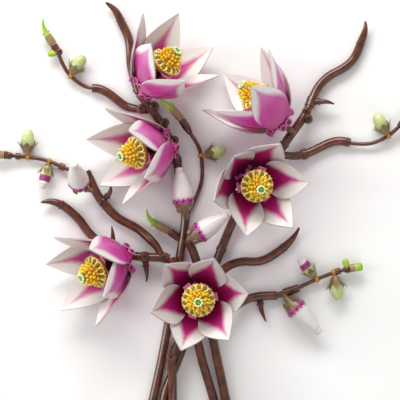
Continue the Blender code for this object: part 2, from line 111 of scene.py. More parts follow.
# Outlines of straight round pieces, from tip to base: share of the length and radius
OUTLINES = {
    "lime_cap": [(0.0, 0.9), (0.04, 1.9), (0.12, 2.8), (0.25, 3.3), (1.0, 3.35)],
    "lime_peg": [
        (0.0, 0.9), (0.05, 1.8), (0.18, 2.5), (0.4, 2.7), (0.7, 2.6), (0.72, 2.1), (1.0, 2.0)],
    "sand_barrel": [(0.0, 2.7), (0.05, 3.2), (0.6, 3.35), (0.94, 3.3), (1.0, 2.9)],
    "end_barrel": [(0.0, 2.5), (0.06, 3.1), (0.6, 3.15), (0.75, 2.7), (1.0, 2.3)],
    "white_bottle": [
        (0.0, 1.6), (0.01, 2.6), (0.03, 3.1), (0.055, 3.2), (0.06, 2.85), (0.07, 2.85),
        (0.075, 3.4), (0.105, 3.45), (0.11, 3.1), (0.125, 3.1), (0.13, 3.75), (0.18, 4.3),
        (0.26, 5.3), (0.34, 6.2), (0.42, 7.0), (0.5, 7.6), (0.58, 8.1), (0.66, 8.35), (0.74, 8.3),
        (0.78, 8.1)],
    "white_collar": [(0.73, 8.0), (0.735, 8.5), (0.76, 8.55), (0.8, 8.2), (0.85, 7.4), (0.88, 6.4)],
    "white_cup": [(0.80, 7.2), (0.86, 7.0), (0.93, 6.2), (0.98, 4.8), (1.0, 3.6)],
    "green_egg": [
        (0.0, 0.7), (0.012, 1.6), (0.04, 2.7), (0.09, 3.7), (0.16, 4.55), (0.25, 5.1), (0.34, 5.3),
        (0.44, 5.2), (0.54, 4.7), (0.64, 3.8)],
    "green_cup": [
        (0.5, 4.4), (0.56, 4.85), (0.63, 4.4), (0.7, 3.3), (0.74, 2.2), (0.78, 1.7), (0.95, 1.6)],
    "opening_tip": [
        (0.0, 1.0), (0.02, 2.0), (0.05, 2.35), (0.055, 2.0), (0.07, 2.0), (0.075, 2.85),
        (0.12, 2.95), (0.125, 2.6), (0.14, 2.6), (0.145, 3.3), (0.2, 3.5), (0.27, 3.8),
        (0.34, 4.0)],
    "opening_ring": [(0.23, 3.5), (0.26, 4.15), (0.36, 4.65), (0.44, 4.7)],
    "opening_egg": [(0.42, 4.5), (0.48, 4.95), (0.58, 5.0), (0.66, 4.6), (0.73, 3.8)],
    "opening_cup": [(0.62, 4.5), (0.68, 4.5), (0.75, 3.4), (0.79, 2.2), (0.83, 1.7), (0.96, 1.6)],
}

# Shares of a stem at which its lengths meet
STEM_SEAMS = (0.72, 0.86)

# Stage, in metres and watts: the panels' places, widths, depths and powers
PANELS = (
    ("key", (-0.35, 1.35, 0.95), 1.6, 0.5, 27),
    ("side", (-1.25, 0.1, 0.8), 0.35, 1.2, 7),
    ("fill", (0.5, -1.0, 1.2), 1.2, 0.5, 3),
)
ROOM_STRENGTH = 0.5
FLOOR_HALF = 4.0
SENSOR = 36  # mm
FRAME_WIDTH = 0.320  # what the picture spans at the framed level
FRAMED_LEVEL = 0.022
CAMERA_HEIGHT = 2.6  # above the framed level

STEMS = {
    "stem_long_left": [
        (-49, 86, 9), (-39, 73, 8.5), (-27, 55, 7.5), (-20, 38, 6), (-18, 27, 5), (-14, 8, 4),
        (-11, -10, FLOOR), (-13, -30, FLOOR), (-17, -48, FLOOR), (-25, -98, FLOOR),
        (-32, -135, FLOOR), (-37, -156, FLOOR), (-42, -180, FLOOR),
    ],
    "stem_long_right": [
        (66, 42, 14), (55, 26, 12), (43, 10, 9.5), (27, -13, 6), (15, -46, FLOOR),
        (2, -76, FLOOR), (-12, -113, FLOOR), (-18, -130, FLOOR), (-26, -148, FLOOR),
        (-30, -162, FLOOR), (-31, -180, FLOOR),
    ],
    "stem_inner_left": [
        (-24, -47, ACROSS), (-19, -56, ACROSS), (-14, -72, ACROSS), (-7, -95, ACROSS),
        (-3, -108, ACROSS), (1, -127, 8), (6, -144, 5), (10, -157, 3.8), (16, -180, FLOOR),
    ],
    "stem_inner_right": [
        (-10, -31, ACROSS), (-5, -42, ACROSS), (-2, -52, ACROSS), (3, -76, ACROSS),
        (6, -90, ACROSS), (10, -110, 9), (13, -124, 7), (16, -138, 5), (19, -152, 3.8),
        (25, -180, FLOOR),
    ],
    "stem_clip": [
        (-22, -180, FLOOR), (-22, -168, 5), (-22, -158, 8.5), (-22, -148, 11),
        (-22.5, -138, ACROSS), (-24, -124, 12.5), (-19, -112, 16), (-11, -98, 19),
        (-5, -86, 19.6), (-1, -79, 19.6),
    ],
}
BRANCHES = {
    "branch_top_left": [
        (-76, 159, 7, 0.8), (-73, 157, 5.5, 1.8), (-68, 153, 4.4, 2.8), (-65, 147, FLOOR, 3.3),
        (-62, 140, FLOOR), (-57, 131, FLOOR), (-56, 119, FLOOR), (-56, 109, 4.5), (-53, 97, 7),
        (-49, 86, 9),
    ],
    "branch_left_arm": [
        (-87, 90, FLOOR), (-82, 90, FLOOR), (-77, 88, FLOOR), (-72, 85, FLOOR),
        (-66, 80, FLOOR), (-61, 76, FLOOR), (-56, 74, 4.2), (-50, 73, 6, 3.2), (-40, 72, 8, 2.6),
    ],
    "branch_low_left": [
        (-128, -2, 8, 0.8), (-124, -1, 6.5, 1.8), (-119, -1, 5, 2.8), (-113, -3, 4, 3.3),
        (-108, -6, FLOOR), (-102, -11, FLOOR), (-96, -17, FLOOR), (-91, -25, FLOOR),
        (-85, -31, FLOOR), (-79, -36, 4.5), (-70, -41, 6), (-57, -45, 8), (-44, -46, 10),
        (-34, -46, 11), (-24, -47, ACROSS),
    ],
    "branch_left_bow": [
        (-92, 23, 4.5), (-88, 16, 4), (-84, 6, FLOOR), (-78, -3, FLOOR), (-72, -9, FLOOR),
        (-66, -15, FLOOR), (-58, -19, 4), (-50, -23, 5.5), (-44, -28, 7.5), (-38, -34, 10),
        (-34, -38, 11, 3.0), (-31, -46, 11.2, 2.8),
    ],
    "branch_top_right": [
        (133, 144, 7, 0.8), (133.5, 139, 5.5, 1.8), (132.5, 134, 4.5, 2.8), (130, 128, FLOOR, 3.3),
        (128, 122, FLOOR), (125, 115, FLOOR), (120, 109, FLOOR), (112, 104, FLOOR),
        (105, 101, FLOOR), (98, 95, FLOOR), (94, 89, 4.5), (91, 83, 6), (88, 75, 9),
        (83, 66, 12), (77, 58, 14), (71, 50, 14.6), (66, 42, 14),
    ],
    "branch_right_arm": [
        (121, 46, 4), (114, 48, FLOOR), (106, 47, FLOOR), (98, 43, FLOOR), (90, 39, FLOOR),
        (82, 36, 5), (75, 35, 9, 3.2), (62, 37, 13.4, 2.8),
    ],
    "branch_low_right": [
        (80, -22, 6, 0.8), (77, -28, 5, 1.8), (73, -33, 4.2, 2.8), (69, -37, FLOOR, 3.3),
        (64, -41, FLOOR), (58, -45, FLOOR), (51, -49, FLOOR), (43, -50, 4), (36, -49, 5.5),
        (26, -51, 9), (18, -56, 14), (9, -66, 18.6, 3.2), (-1, -79, 19.6, 2.8),
    ],
    "branch_front_right": [
        (62, -77, FLOOR), (57, -77, FLOOR), (48, -77.5, FLOOR), (39, -79, 4.5), (32, -83, 7),
        (26, -87, 10.5), (18, -89, 15), (11, -88, 18.8, 3.2), (-4, -84, 19.8, 2.8),
    ],
}
TWIGS = {
    "twig_top_left": [
        (-114, 118, 6), (-111, 110, 5.5), (-106, 101, 5), (-100, 96, 4.5), (-93, 91, 3.8),
        (-86, 90, FLOOR),
    ],
    "twig_left": [
        (-153, 36, 5), (-146, 35, 4.5), (-132, 34, 4), (-124, 32, 3.8), (-118, 30, 3.8),
        (-112, 27, 4), (-105, 24, 4.2), (-90, 20, 4.4),
    ],
    "twig_centre": [
        (-8, 54, 10), (-4, 48, 8), (-1, 43, 6), (1, 36, 5), (2, 27, 4.5), (2, 17, 4),
        (0, 10, 3.8), (-3, 2, 3.6), (-11, -14, 3.6),
    ],
    "twig_right": [
        (160, 59, 7), (156, 55, 6.5), (151, 51, 6), (143, 47, 5.2), (136, 45, 4.6),
        (128, 45, 4.2), (120, 46, 4),
    ],
    "twig_low_right": [
        (117, -56, 6), (108, -58, 5.5), (101, -61, 5), (91, -65, 4.5), (81, -70, 4),
        (71, -74, 3.6, 2.4), (60, -77.5, 3.6, 2.4),
    ],
}
THORNS = {
    "thorn_top_right": [(108, 77, 10), (103.5, 79, 10), (97, 79.3, 9.6), (88, 78.5, 8.4)],
    "thorn_left_bow": [(-72, 13, 7), (-71.5, 8, 6.2), (-73.5, 3.5, 4.6), (-80, -1, 3.6)],
    "thorn_low_left_upper": [(-71, -21, 11), (-70, -27, 10), (-70, -33, 8), (-70, -42, 6)],
    "thorn_low_left_lower": [(-43, -66, 6), (-42.5, -60, 7), (-43.5, -53.5, 8.6), (-44, -45, 10)],
    "thorn_front_right": [(53, -98, 5), (50.5, -92, 4.4), (48.6, -85.5, 3.8), (48, -76, 3.6)],
}
# Shoots: tip of the spike, its foot, then the way down the barrel to the twig
SHOOTS = {
    "shoot_top_left": [
        (-126, 146, 9), (-125, 137, 8), (-124, 134.5, 7.6), (-118, 125, 6.6), (-114, 118, 6)],
    "shoot_centre": [(-33, 82.5, 16), (-26, 77, 14.4), (-24, 75, 14), (-15, 65, 12), (-8, 54, 10)],
    "shoot_low_centre": [
        (-43, -7, 8), (-40, -16, 7), (-37.5, -18, 6.6), (-25, -25, 4.6), (-14, -33, 3.6)],
    "shoot_low_right": [
        (131, -53.5, 8), (128.5, -53.8, 7.6), (127.5, -54, 7.4), (121, -55, 6.6), (116, -56.3, 6)],
    "shoot_far_left": [
        (-176, 42, 10), (-170, 38.5, 9), (-168, 37.5, 8.6), (-158, 36.2, 6.4), (-153, 36, 5)],
    "shoot_far_right": [
        (180, 80, 11), (175.5, 74, 10), (174, 72, 9.6), (165, 63.5, 7.9), (160, 59, 7)],
}
CAPPED_SHOOTS = ("shoot_low_right",)  # a blunt cap in place of the curved spike
# Lime pegs beside the shoots: rounded end and joint
LIME_STUBS = {
    "shoot_top_left": [((-122.6, 117.4, 6.8), (-114.5, 118.6, 6.4))],
    "shoot_low_right": [((116.5, -47.5, 8.6), (118.6, -55, 7.2))],
}
# Sleeves on the bars: place, radius and width, by the bar
SLEEVES = {
    "twig_low_right": [
        ((70.5, -74.2, 4.0), 3.9, 7), ((77, -71.2, 4.2), 3.3, 6), ((110, -57.4, 5.8), 2.7, 5)],
    "twig_left": [((-112, 27, 4.0), 2.9, 5), ((-147, 35, 4.6), 2.7, 4)],
    "stem_long_left": [((-17, -52, 3.7), 4.3, 3), ((-18.6, 32, 5.5), 4.3, 6)],
    "stem_long_right": [((50, 18.5, 10.9), 4.4, 5), ((17, -40, 3.7), 4.2, 4)],
    "branch_right_arm": [((84, 37, 4.6), 4.5, 4)],
    "branch_top_right": [((90, 81, 6.8), 4.4, 4), ((104, 100.4, 3.8), 4.1, 2)],
}
# White buds: tip, base, then the neck
WHITE_BUDS = {
    "white_bud_left": [(-100, 29, 46), (-96, 10, 14), (-93, 9, 9.5), (-84, 7, 4)],
    "white_bud_centre_upper": [
        (-17, 26, 19.5), (-12, -9, 17.2), (-11.5, -13, 13.5), (-11.5, -15.5, 5)],
    "white_bud_centre_lower": [(23, -12, 28), (-7, -30, 25), (-9, -31.4, 21.5), (-8.6, -34, 12)],
    "white_bud_low_right": [(97, -107, 9.6), (71, -81, 9.4), (69, -78.6, 8.4), (67, -75.4, 4)],
}
GREEN_BUDS = {
    "green_bud_top_left": [(-93, 116, 9), (-106, 99, 4.8)],
    "green_bud_left": [(-138, 57, 8), (-139.6, 33, 4.2)],
    "green_bud_centre": [(21, 40, 8), (0, 35.6, 5)],
    "green_bud_right": [(141, 69, 9), (152.6, 50, 6)],
    "green_bud_low_right": [(111.5, -81, 8), (107.8, -57, 5.4)],
}
OPENING_BUDS = {
    "opening_bud_left": [(-127, 9, 8), (-121, 33, 3.6)],
    "opening_bud_low_right": [(79, -46, 9), (95, -65, 4.6)],
}
# Stalks: from under the hub down to what carries the blossom
STALKS = {
    "flower_top_left": [(-46, 88, 15.5), (-46.5, 83, 9)],
    "flower_mid_left": [(-24.5, 43.8, 13.5), (-21.5, 42.5, 6)],
    "flower_low_left": [(-58.8, -46, 13.5), (-57, -45, 8)],
    "flower_top_right": [(69, 58.2, 27), (73.5, 55, 22.5), (74.5, 54.4, 15)],
    "flower_centre": [(40, 15, 16.6), (42, 10.5, 10)],
    "flower_front": [(-1.2, -78.4, 27), (-2.6, -82, 20)],
}
# Knobs and sockets at the joints, by the bar that they sit on: place and radius
KNOBS = {
    "twig_top_left": [((-113.6, 119, 6.4), 3.2)],
    "stem_long_left": [((-37, 75.2, 9.5), 4.4), ((-28.4, 62.1, 10), 4.0), ((-20.8, 48, 8.6), 3.9)],
    "branch_left_arm": [((-47, 73.1, 7.6), 4.3)],
    "branch_top_right": [((86.7, 65.1, 13.2), 4.1), ((85.7, 71, 11.6), 3.9)],
    "branch_low_left": [((-44.2, -45.4, 11.2), 4.2), ((-28.5, -46.4, 12.2), 4.3)],
    "stem_clip": [((-23.2, -125.6, 14.6), 4.0)],
    "branch_left_bow": [((-78, -2.2, 5.6), 3.9)],
    "twig_left": [((-153.4, 35.6, 5.6), 3.0)],
}


def unique_points(node):
    """The corners of a frame node, each once, as an array in metres."""
    points = np.array([vertex.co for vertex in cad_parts[node].data.vertices])
    return np.unique(np.round(points, 6), axis=0)


def layout_zero():
    """Where the layout's zero lies: the lower cut face of the long left stem tells."""
    points = unique_points("stem_long_left")
    face = points[np.argsort(points[:, 1])[:8]]
    return Vector(face.mean(axis=0)) - Vector(STEMS["stem_long_left"][-1][:3]) * MM


LAYOUT_ZERO = layout_zero()


# ---------------------------------------------------------------- materials


def linear(hex_colour):
    """sRGB hex, such as 5B2A18, as a linear colour with alpha."""
    parts = [int(hex_colour[index:index + 2], 16) / 255 for index in (0, 2, 4)]
    parts = [part / 12.92 if part <= 0.04045 else ((part + 0.055) / 1.055) ** 2.4 for part in parts]
    return (*parts, 1.0)


def as_colour(tone):
    """A colour from sRGB hex, from one grey level, or as the add-on's own linear colour."""
    if isinstance(tone, str):
        return linear(tone)
    return (tone, tone, tone, 1.0) if isinstance(tone, float) else tuple(tone)


def add_node(tree, kind, settings=None, links=None, stops=None):
    """Adds a node, sets its fields or sockets, links its sockets, and fills in a ramp's stops."""
    node = tree.nodes.new(kind)
    for key, value in (settings or {}).items():
        if isinstance(key, str) and hasattr(node, key):
            setattr(node, key, value)
        else:
            node.inputs[key].default_value = value
    for key, output in (links or {}).items():
        tree.links.new(output, node.inputs[key])
    if stops:
        elements = node.color_ramp.elements
        elements[0].position, elements[1].position = stops[0][0], stops[-1][0]
        for position, _ in stops[1:-1]:
            elements.new(position)
        for element, (_, tone) in zip(elements, stops):
            element.color = as_colour(tone)
    return node


def new_plastic(name, roughness, ior=1.53, coat=0.0, subsurface=0.0):
    """A moulded plastic: material, its tree and its shader, all dielectric."""
    material = bpy.data.materials.new(name)
    material.use_nodes = True
    tree = material.node_tree
    shader = tree.nodes["Principled BSDF"]
    shader.inputs["Roughness"].default_value = roughness
    shader.inputs["IOR"].default_value = ior
    shader.inputs["Coat Weight"].default_value = coat
    shader.inputs["Coat Roughness"].default_value = 0.08
    if subsurface:
        shader.inputs["Subsurface Weight"].default_value = subsurface
        shader.inputs["Subsurface Scale"].default_value = 0.002
    return material, tree, shader


def per_metre(millimetres):
    """Noise scale whose features are about this size."""
    return 1000 / millimetres


def add_mould_grain(tree, shader, depth=0.03):
    """The faint waviness of a moulded face, 2.5 mm across, as a bump."""
    place = add_node(tree, "ShaderNodeTexCoord")
    grain = add_node(tree, "ShaderNodeTexNoise", {"Scale": per_metre(2.5), "Detail": 3.0},
                     {"Vector": place.outputs["Object"]})
    bump = add_node(tree, "ShaderNodeBump", {"Strength": 0.18, "Distance": depth * MM},
                    {"Height": grain.outputs["Fac"]})
    tree.links.new(bump.outputs["Normal"], shader.inputs["Normal"])
    return place


def moulded_abs(name, light, dark, roughness, size, coat=0.0):
    """Moulded ABS from a polished tool: glossy, two close tones in clouds this many mm across."""
    material, tree, shader = new_plastic(name, roughness, coat=coat)
    place = add_mould_grain(tree, shader)
    cloud = add_node(tree, "ShaderNodeTexNoise", {"Scale": per_metre(size), "Detail": 4.0},
                     {"Vector": place.outputs["Object"]})
    pigment = add_node(tree, "ShaderNodeValToRGB", links={"Fac": cloud.outputs["Fac"]},
                       stops=[(0.32, dark), (0.68, light)])
    tree.links.new(pigment.outputs["Color"], shader.inputs["Base Color"])
    return material


def printed_petal(name, bare, ink, reach, blur):
    """White ABS with a sprayed print that covers the root and narrows along the crease.

    ink are the print's colours from root to tip; reach gives how much of the half
    width it covers at each share of the length; blur is the softness of its edge.
    """
    material, tree, shader = new_plastic(name, 0.26, coat=0.1, subsurface=0.04)
    place = add_mould_grain(tree, shader, 0.02)
    share = add_node(tree, "ShaderNodeAttribute", {"attribute_name": "share"}).outputs["Fac"]
    spread = add_node(tree, "ShaderNodeAttribute", {"attribute_name": "across"}).outputs["Fac"]
    across = add_node(tree, "ShaderNodeMath", {"operation": "ABSOLUTE"}, {0: spread})
    mottle = add_node(tree, "ShaderNodeTexNoise", {"Scale": per_metre(6), "Detail": 3.0},
                      {"Vector": place.outputs["Object"]})
    drift = add_node(tree, "ShaderNodeMapRange", {"To Min": -0.07, "To Max": 0.07},
                     {"Value": mottle.outputs["Fac"]})
    cover = add_node(tree, "ShaderNodeValToRGB", links={"Fac": share}, stops=reach)
    wide = add_node(tree, "ShaderNodeMath", {"operation": "MULTIPLY_ADD", 1: 1.3},
                    {0: cover.outputs["Color"], 2: drift.outputs["Result"]})
    depth = add_node(tree, "ShaderNodeMath", {"operation": "SUBTRACT"},
                     {0: wide.outputs[0], 1: across.outputs[0]})
    soft_edge = {"interpolation_type": "SMOOTHSTEP", "From Min": -blur * 0.45, "From Max": blur}
    edge = add_node(tree, "ShaderNodeMapRange", soft_edge, {"Value": depth.outputs[0]})
    print_tone = add_node(tree, "ShaderNodeValToRGB", links={"Fac": share}, stops=ink)
    skin = add_node(tree, "ShaderNodeMix", {"data_type": "RGBA", 6: as_colour(bare)},
                    {0: edge.outputs["Result"], 7: print_tone.outputs["Color"]})
    tree.links.new(skin.outputs[2], shader.inputs["Base Color"])
    return material


def fading_abs(name, root, tip, start, end, roughness):
    """ABS whose colour runs from root to tip along each finger, by its share of the length."""
    material, tree, shader = new_plastic(name, roughness)
    add_mould_grain(tree, shader)
    share = add_node(tree, "ShaderNodeAttribute", {"attribute_name": "share"})
    fade = add_node(tree, "ShaderNodeValToRGB", links={"Fac": share.outputs["Fac"]},
                    stops=[(start, root), (end, tip)])
    tree.links.new(fade.outputs["Color"], shader.inputs["Base Color"])
    return material


# Finishes in one moulded ABS each: name, light tone, dark tone, roughness and cloud size in mm
MOULDED = {
    # Bark plastic deep in a hole: almost black, without a highlight
    "socket": ("Moulded ABS, bark brown in shade", "241008", "180A05", 0.7, 9),
    # Cut edge of a petal: greyer than its faces, painted shade on the rim that draws a fine line
    # around them
    "shaded_petal_rim": ("Moulded ABS, petal rim in painted shade", "C2B8B4", "A89E9A", 0.3, 9),
    # Feet of the petals: a glossy magenta, a little bluer than the print
    "magenta": ("Moulded ABS, magenta", "C4388E", "A82478", 0.26, 9),
    # Inside of the feet: dull crimson, with the light cut off
    "foot_hole": ("Moulded ABS, crimson in shade", "8A0C34", "5E0420", 0.5, 9),
    # Hubs, teeth and squiggles: glossy dark wine
    "wine": ("Moulded ABS, wine", "4A0428", "34021C", 0.28, 9),
    # Cone inside the fingers: darker warm amber, painted shade between them
    "stamen_core": ("Moulded ABS, amber painted shade", "C88A0C", "A86A06", 0.38, 9),
    # Pockets of the stamens' ring: olive, painted shade of the yellow deep in its hollows
    "stamen_pocket": ("Moulded ABS, stamen pocket painted shade", "94801A", "66560A", 0.5, 9),
    # Pistil: pale and slightly green, the lightest spot of the blossom's middle
    "pistil": ("Moulded ABS, pale lime cream", "EEF3B8", "DDE69A", 0.3, 9),
    # Ring and heart of the pistil: glossy leaf green
    "pistil_dot": ("Moulded ABS, leaf green", "2C7A3A", "1C5A2A", 0.3, 9),
    # Rims of the feet and clips by the stamens: the magenta made paler and softer, partly a painted
    # highlight on their edges
    "pink_clip": ("Moulded ABS, pale pink with painted highlight", "D878B2", "BE5C98", 0.28, 9),
    # Tips of the opening buds: glossy cool white
    "bud_white": ("Moulded ABS, bud white", "E9E6E1", "DAD6CF", 0.26, 14),
    # Collars of the buds: glossy pink under the wine teeth
    "pink": ("Printed ABS, collar pink", "C04A98", "A42E7E", 0.28, 9),
    # Calyxes: dark tan, duller than the bark
    "calyx": ("Moulded ABS, dark tan", "94805C", "6E5A3C", 0.3, 9),
    # Clips on the twigs: a warm gold glint
    "clip": ("Moulded ABS, warm gold tan", "C48A2C", "A87222", 0.28, 9),
    # Closed buds: pale yellow green with a soft highlight
    "bud_green": ("Moulded ABS, pale yellow green", "CFD99C", "B2C078", 0.26, 9),
    # Spikes, caps and pegs of the shoots: fresh lime, the most vivid green
    "lime": ("Moulded ABS, lime", "A9CB3C", "8DB02A", 0.28, 9),
    # Barrels of the shoots: glossy sand
    "barrel": ("Moulded ABS, sand barrel", "A98C64", "8F744E", 0.3, 9),
}
FINISHES = {}


def make_finishes(colours):
    """Every finish of the spray, named for its plastic and how it was made."""
    for key, values in MOULDED.items():
        FINISHES[key] = moulded_abs(*values)
    # Dark reddish brown ABS from polished moulds: wet-looking streaks of light
    FINISHES["bark"] = moulded_abs(
        "Moulded ABS, bark brown", colours.bark_light, colours.bark_dark, 0.21, 7, 0.3)
    # Petal faces: white ABS, spray-printed wine at the root and magenta along the crease
    FINISHES["petal_face"] = printed_petal(
        "Printed ABS, petal face", colours.petal_white,
        [(0.0, "30031A"), (0.22, "640A34"), (0.34, "980F48"), (0.48, colours.petal_print),
         (0.72, "CC3A8C"), (1.0, "B85A94")],
        [(0.0, 1.0), (0.26, 0.95), (0.38, 0.68), (0.5, 0.46), (0.66, 0.26), (0.84, 0.12),
         (0.98, 0.02)], 0.3)
    # Petal backs: the same print, pinker, with a broad white margin
    FINISHES["petal_back"] = printed_petal(
        "Printed ABS, petal back", colours.petal_white,
        [(0.0, "98085C"), (0.35, colours.petal_back), (0.65, "CC48A0"), (1.0, "E0A0CC")],
        [(0.0, 1.0), (0.44, 0.96), (0.62, 0.74), (0.78, 0.44), (0.9, 0.2), (0.99, 0.0)], 0.32)
    # Stamens: warm yellow fingers, darker amber at the roots as painted shade deep among them,
    # paler at the tips as a painted highlight
    FINISHES["stamen"] = fading_abs(
        "Moulded ABS, stamen yellow with painted shade and highlight", "C8880A", "F4D238", 0.1, 0.9, 0.3)
    # Ribs of the stamens' ring: the same yellow, darker at the roots as painted shade, almost cream
    # at the tips as a painted highlight
    FINISHES["stamen_rim"] = fading_abs(
        "Moulded ABS, pale stamen yellow", "D8A82C", "F4E48C", 0.1, 0.9, 0.3)
    # White buds: glossy cool white that turns pink just above the collar
    FINISHES["white"] = fading_abs(
        "Moulded ABS, bud white over a pink print", "DFDBD5", "CC7EB0", 0.82, 1.0, 0.26)


# ---------------------------------------------------------------- meshes


def to_mesh(name, points, faces, finishes, face_finish=None, attributes=None):
    """A smooth-shaded mesh object; points are in metres, attributes one number per point."""
    mesh = bpy.data.meshes.new(name)
    mesh.from_pydata(points, [], faces)
    for finish in finishes:
        mesh.materials.append(FINISHES[finish])
    if face_finish:
        mesh.polygons.foreach_set("material_index", face_finish)
    for key, values in (attributes or {}).items():
        mesh.attributes.new(key, "FLOAT", "POINT").data.foreach_set("value", values)
    mesh.shade_smooth()
    mesh.set_sharp_from_angle(angle=math.radians(38))
    made = bpy.data.objects.new(name, mesh)
    bpy.context.scene.collection.objects.link(made)
    return made


def hand_over(made, nodes):
    """The piece rides on the spray's one body and stands for these frame nodes."""
    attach(made, BODY)
    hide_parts(*nodes)
    return made


def way_through(route, radius, step=FINE_STEP):
    """Stations (place, radius, direction) along a clamped cubic B-spline, in millimetres."""
    knots = [(Vector(point[:3]), point[3] if len(point) > 3 else radius) for point in route]
    knots = [knots[0]] * 2 + knots + [knots[-1]] * 2
    fine = []
    for first in range(len(knots) - 3):
        for part in range(12):
            t = part / 12
            weights = (
                (1 - t) ** 3 / 6,
                (3 * t**3 - 6 * t**2 + 4) / 6,
                (-3 * t**3 + 3 * t**2 + 3 * t + 1) / 6,
                t**3 / 6,
            )
            near = list(zip(weights, knots[first:first + 4]))
            place = sum((weight * knot[0] for weight, knot in near), Vector())
            fine.append((place, sum(weight * knot[1] for weight, knot in near)))
    fine.append(knots[-1])
    gone = [0.0]
    for one, two in zip(fine, fine[1:]):
        gone.append(gone[-1] + (two[0] - one[0]).length)
    count = max(4, round(gone[-1] / step))
    stations = []
    for index in range(count + 1):
        target = gone[-1] * index / count
        place = min(int(np.searchsorted(gone, target, side="right")) - 1, len(fine) - 2)
        span = gone[place + 1] - gone[place]
        share = (target - gone[place]) / span if span > 1e-9 else 0.0
        one, two = fine[place], fine[place + 1]
        along = (fine[min(place + 3, len(fine) - 1)][0] - fine[max(place - 2, 0)][0]).normalized()
        stations.append((one[0].lerp(two[0], share), one[1] + (two[1] - one[1]) * share, along))
    return stations


def nearest(stations, point):
    """The station that lies nearest to a point."""
    return min(stations, key=lambda station: (station[0] - Vector(point)).length)


def straight_way(tip, base, outline):
    """Stations along a straight axis for an outline of (share, radius)."""
    tip, base = Vector(tip), Vector(base)
    along = (base - tip).normalized()
    return [(tip.lerp(base, share), radius, along) for share, radius in outline]


def chamfered(stations, size=0.45):
    """The same stations with a small chamfer at both ends."""
    first, last = stations[0], stations[-1]
    start = (first[0], max(0.1, first[1] - size), first[2])
    end = (last[0], max(0.1, last[1] - size), last[2])
    inner = [
        (place, radius, along) for place, radius, along in stations[1:-1]
        if (place - first[0]).length > size and (place - last[0]).length > size
    ]
    head = (first[0] + first[2] * size, first[1], first[2])
    tail = (last[0] - last[2] * size, last[1], last[2])
    return [start, head] + inner + [tail, end]


def across_of(along):
    """A direction square to an axis, as near upright as it can be."""
    upright = Vector((0, 0, 1)) if abs(along.z) < 0.9 else Vector((0, 1, 0))
    return (upright - along * upright.dot(along)).normalized()


def round_shell(stations, sides, wave=None):
    """Points and faces of a closed round piece; wave(angle, index) scales a radius."""
    across = across_of(stations[0][2])
    points, faces = [], []
    for index, (place, radius, along) in enumerate(stations):
        across = (across - along * across.dot(along)).normalized()
        side = along.cross(across)
        for corner in range(sides):
            angle = corner * math.tau / sides
            reach = radius * (wave(angle, index) if wave else 1)
            points.append(place + (across * math.cos(angle) + side * math.sin(angle)) * reach)
    for ring in range(len(stations) - 1):
        for corner in range(sides):
            near = ring * sides
            after = (corner + 1) % sides
            faces.append((near + corner, near + after, near + sides + after, near + sides + corner))
    last = (len(stations) - 1) * sides
    faces.append(tuple(range(sides))[::-1])
    faces.append(tuple(range(last, last + sides)))
    return points, faces


def sheet_faces(rows, columns):
    """Faces of a sheet with two skins: front and back in turn for each cell, then its rim."""
    width = columns + 1
    under = (rows + 1) * width
    faces = []
    for row in range(rows):
        for column in range(columns):
            corner = row * width + column
            quad = (corner, corner + width, corner + width + 1, corner + 1)
            faces += [quad, tuple(under + index for index in quad[::-1])]
    rim = [row * width for row in range(rows + 1)]
    rim += [rows * width + column for column in range(1, width)]
    rim += [row * width + columns for row in range(rows - 1, -1, -1)]
    rim += list(range(columns - 1, 0, -1))
    faces += [(one, under + one, under + two, two) for one, two in zip(rim, rim[1:] + rim[:1])]
    return faces


class Shape:
    """Gathers shells of several finishes into one mesh object."""

    def __init__(self):
        self.points = []
        self.faces = []
        self.marks = []
        self.finishes = []
        self.shares = []

    def add(self, points, faces, finish, shares=None):
        start = len(self.points)
        if finish not in self.finishes:
            self.finishes.append(finish)
        self.points += points
        self.faces += [tuple(start + index for index in face) for face in faces]
        self.marks += [self.finishes.index(finish)] * len(faces)
        self.shares += shares if shares else [0.0] * len(points)

    def add_round(self, stations, finish, sides=TUBE_SIDES, wave=None, shares=None):
        points, faces = round_shell(stations, sides, wave)
        self.add(points, faces, finish, shares)

    def add_outline(self, key, tip, base, finish, sides, wave=None, shares=None):
        """A straight round piece with one of the OUTLINES."""
        self.add_round(straight_way(tip, base, OUTLINES[key]), finish, sides, wave, shares)

    def add_ring(self, place, along, radius, width, finish, sides=TUBE_SIDES):
        """A soft-edged band around an axis, never below the surface that the spray lies on."""
        half = width / 2
        if abs(along.z) < 0.5:
            radius = min(radius, place.z)
        low, soft = radius - RING_SOFTNESS, half - RING_BEVEL
        outline = [(-half, low), (-soft, radius), (soft, radius), (half, low)]
        stations = [(place + along * shift, reach, along) for shift, reach in outline]
        self.add_round(stations, finish, sides)

    def add_ball(self, place, radius, finish, sides=16):
        """A round knob."""
        stations = []
        for step in range(1, 10):
            angle = math.pi * step / 10
            shift = Vector((0, 0, -radius * math.cos(angle)))
            stations.append((place + shift, radius * math.sin(angle), Vector((0, 0, 1))))
        self.add_round(stations, finish, sides)

    def add_socket(self, place, radius):
        """A round knob with a dark hole that faces up."""
        up = Vector((0, 0, 1))
        self.add_ball(place, radius, "bark", 24)
        rim = place + up * radius * 0.72
        rise = ((0, 0.72), (0.9, 0.7), (1.1, 0.6))
        self.add_round([(rim + up * lift, radius * share, up) for lift, share in rise], "bark", 22)
        hole = radius * 0.34
        self.add_round([(rim + up * 0.8, hole, up), (rim + up * 1.15, hole, up)], "socket", 18)

    def finish(self, name, nodes, slot):
        points = [LAYOUT_ZERO + point * MM for point in self.points]
        made = to_mesh(name, points, self.faces, self.finishes, self.marks, {"share": self.shares})
        return hand_over(made, nodes)


# ---------------------------------------------------------------- bars


def add_fittings(shape, name, stations):
    """The knobs and sleeves of one bar."""
    for place, reach in KNOBS.get(name, ()):
        shape.add_socket(Vector(place), reach)
    for near, reach, width in SLEEVES.get(name, ()):
        place, _, along = nearest(stations, near)
        shape.add_ring(place, along, reach, width, "bark")


